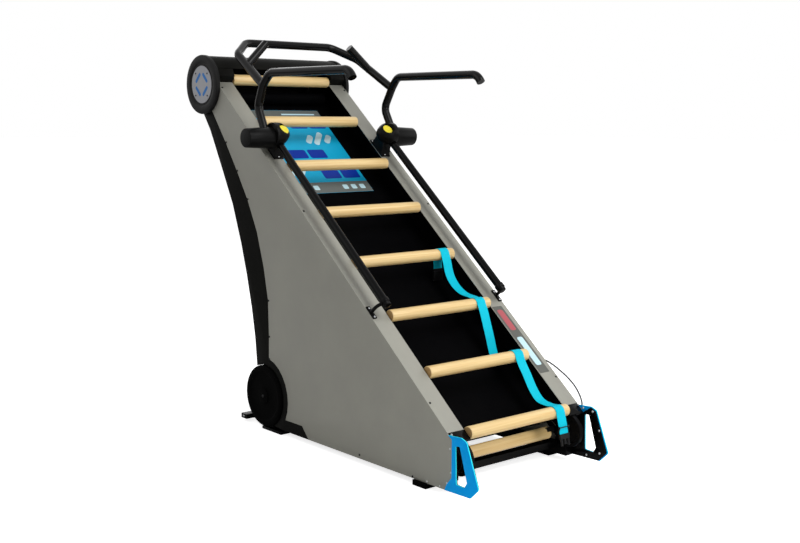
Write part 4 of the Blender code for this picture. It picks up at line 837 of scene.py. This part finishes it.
def hang(before, places, after):
    """A smooth free stretch of the strap between two rungs, without its end points."""
    return smooth([before[-1], *(side(0, *place) for place in places), after[0]], steps=5)[1:-1]


five = over_rung(5, 0, 150)
six = over_rung(6, 62, 165)
seven = over_rung(7, 5, 150)
eight = over_rung(8, 68, 172)
route = [*(side(0, *place) for place in SOCKET_END), *five, *hang(five, SAG_FIVE_SIX, six), *six,
         *hang(six, SAG_SIX_SEVEN, seven), *seven, *hang(seven, SAG_SEVEN_EIGHT, eight), *eight,
         *(side(0, *place) for place in PLUG_END)]
lengths = [0.0]
for before, after in zip(route, route[1:]):
    lengths.append(lengths[-1] + (after - before).length)
corners, walk = [], []
for spot, so_far in zip(route, lengths):
    for i in range(STRANDS + 1):
        corners.append((STRAP_X + STRAP_WIDTH * (i / STRANDS - 0.5), spot.y, spot.z))
        walk.append((i / STRANDS * STRAP_WIDTH, so_far))
wide = STRANDS + 1
faces = [(j * wide + i, j * wide + i + 1, (j + 1) * wide + i + 1, (j + 1) * wide + i)
         for j in range(len(route) - 1) for i in range(STRANDS)]
mesh = bpy.data.meshes.new('strap_webbing')
mesh.from_pydata(corners, [], faces)
cloth = mesh.uv_layers.new(name='along_the_web')
for loop in mesh.loops:
    cloth.data[loop.index].uv = walk[loop.vertex_index]
strap = bpy.data.objects.new('strap_webbing', mesh)
bpy.context.scene.collection.objects.link(strap)
select(strap)
shell = strap.modifiers.new('thickness', 'SOLIDIFY')
shell.thickness = STRAP_THICKNESS
shell.offset = 0
bpy.ops.object.modifier_apply(modifier='thickness')
# A wave texture of scale 1 has a band each 0.314 m. The ribs are drawn 2.4 mm apart, twice as coarse as in
# the real weave, so that they show.
WAVE_BAND = 0.314
RIB, WARP = 0.0024, 0.0031
webbing, webbing_shader = finish('woven_polypropylene', {'Roughness': 0.6, 'Specular IOR Level': 0.15})
path = node(webbing, 'UVMap', {'uv_map': 'along_the_web'})
ribs = node(webbing, 'TexWave', {'Scale': WAVE_BAND / RIB, 'Distortion': 0.4, 'bands_direction': 'Y'},
            {'Vector': path.outputs['UV']})
ends = node(webbing, 'TexWave', {'Scale': WAVE_BAND / WARP, 'bands_direction': 'X'},
            {'Vector': path.outputs['UV']})
weave = node(webbing, 'Math', {'operation': 'MULTIPLY'}, {0: ribs.outputs['Fac'], 1: ends.outputs['Fac']})
shade = node(webbing, 'ValToRGB', None, {'Fac': weave.outputs[0]})
shade.color_ramp.elements[0].color = linear('#00bcd8')
shade.color_ramp.elements[1].position = 0.6
shade.color_ramp.elements[1].color = linear('#00d4ea')
bump = node(webbing, 'Bump', {'Strength': 0.6, 'Distance': 0.0005}, {'Height': weave.outputs[0]})
webbing.node_tree.links.new(shade.outputs['Color'], webbing_shader.inputs['Base Color'])
webbing.node_tree.links.new(bump.outputs['Normal'], webbing_shader.inputs['Normal'])
settle(strap, 'strap_webbing', [webbing], 'front_run', ['strap'], angle=60)
# The buckle is moulded acetal, smooth and a little waxy.
acetal = sprayed('moulded_black_acetal', '#0b0b0c', '#101011', roughness=0.34, peel=0.0009, depth=0.00004,
                 gloss=0.2)
socket = eased('buckle_socket', acetal, 'front_run', edge_width=0.0012)
plug = eased('buckle_plug', acetal, 'front_run', edge_width=0.0009)
CROSS_BAR = (0.0600, 0.0032, 0.0048)
SIDE_BAR = (0.0040, 0.0072, 0.0270)
ADJUSTER_BACK = 0.0175
# Each bar of the adjuster: its place across, down along and out in front of the strap, and its size.
ADJUSTER = ((0, 0.0100, 0.0030, CROSS_BAR), (0, -0.0125, 0.0030, CROSS_BAR),
            (-0.0279, -0.0012, 0.0008, SIDE_BAR), (0.0279, -0.0012, 0.0008, SIDE_BAR))
down = (route[-1] - route[-2]).normalized()
middle = route[-1] - down * ADJUSTER_BACK + Vector((STRAP_X, 0, 0))
hanging = Matrix.Translation(middle) @ Matrix.Rotation(-math.atan2(down.y, -down.z), 4, 'X')
bars = []
for across, drop, ahead, size in ADJUSTER:
    bar = block(size, edge=0.0011)
    bar.matrix_world = hanging @ Matrix.Translation((across, -ahead, -drop))
    bars.append(bar)
settle(together(bars), 'strap_adjuster', [acetal], 'front_run')

# Cable
# A thin control cable in a sheath of extruded grey PVC, smooth and half dull, that leaves the right panel,
# arches outside it and ends at the lift handle.
CABLE_RADIUS = 0.0035
# Places out from the panel's face, behind the lowest rung and above the floor.
CABLE = ((0.0003, 0.232, 0.391), (0.0060, 0.227, 0.3935), (0.0085, 0.210, 0.3955), (0.009, 0.1913, 0.3920),
         (0.009, 0.1700, 0.3850), (0.010, 0.1381, 0.3713), (0.011, 0.0854, 0.3440), (0.010, 0.0400, 0.3120),
         (0.007, 0.0110, 0.2810), (0.003, -0.0040, 0.2595), (0, -0.0095, 0.2485), (0, -0.0100, 0.2438))
sheath = sprayed('grey_pvc_sheath', '#3a3b3d', '#44464a', roughness=0.45, peel=0.0010, depth=0.00003)
arch = smooth([side(PANEL_FACE + out, y, z) for out, y, z in CABLE], steps=6)
cable = tube(arch, CABLE_RADIUS, roundness=4)
settle(cable, 'cable_sheath', [sheath], 'frame', ['cable'], angle=60)

# Last step
# The model of the screw head goes, now that all its copies are made.
bpy.data.objects.remove(screw_head)
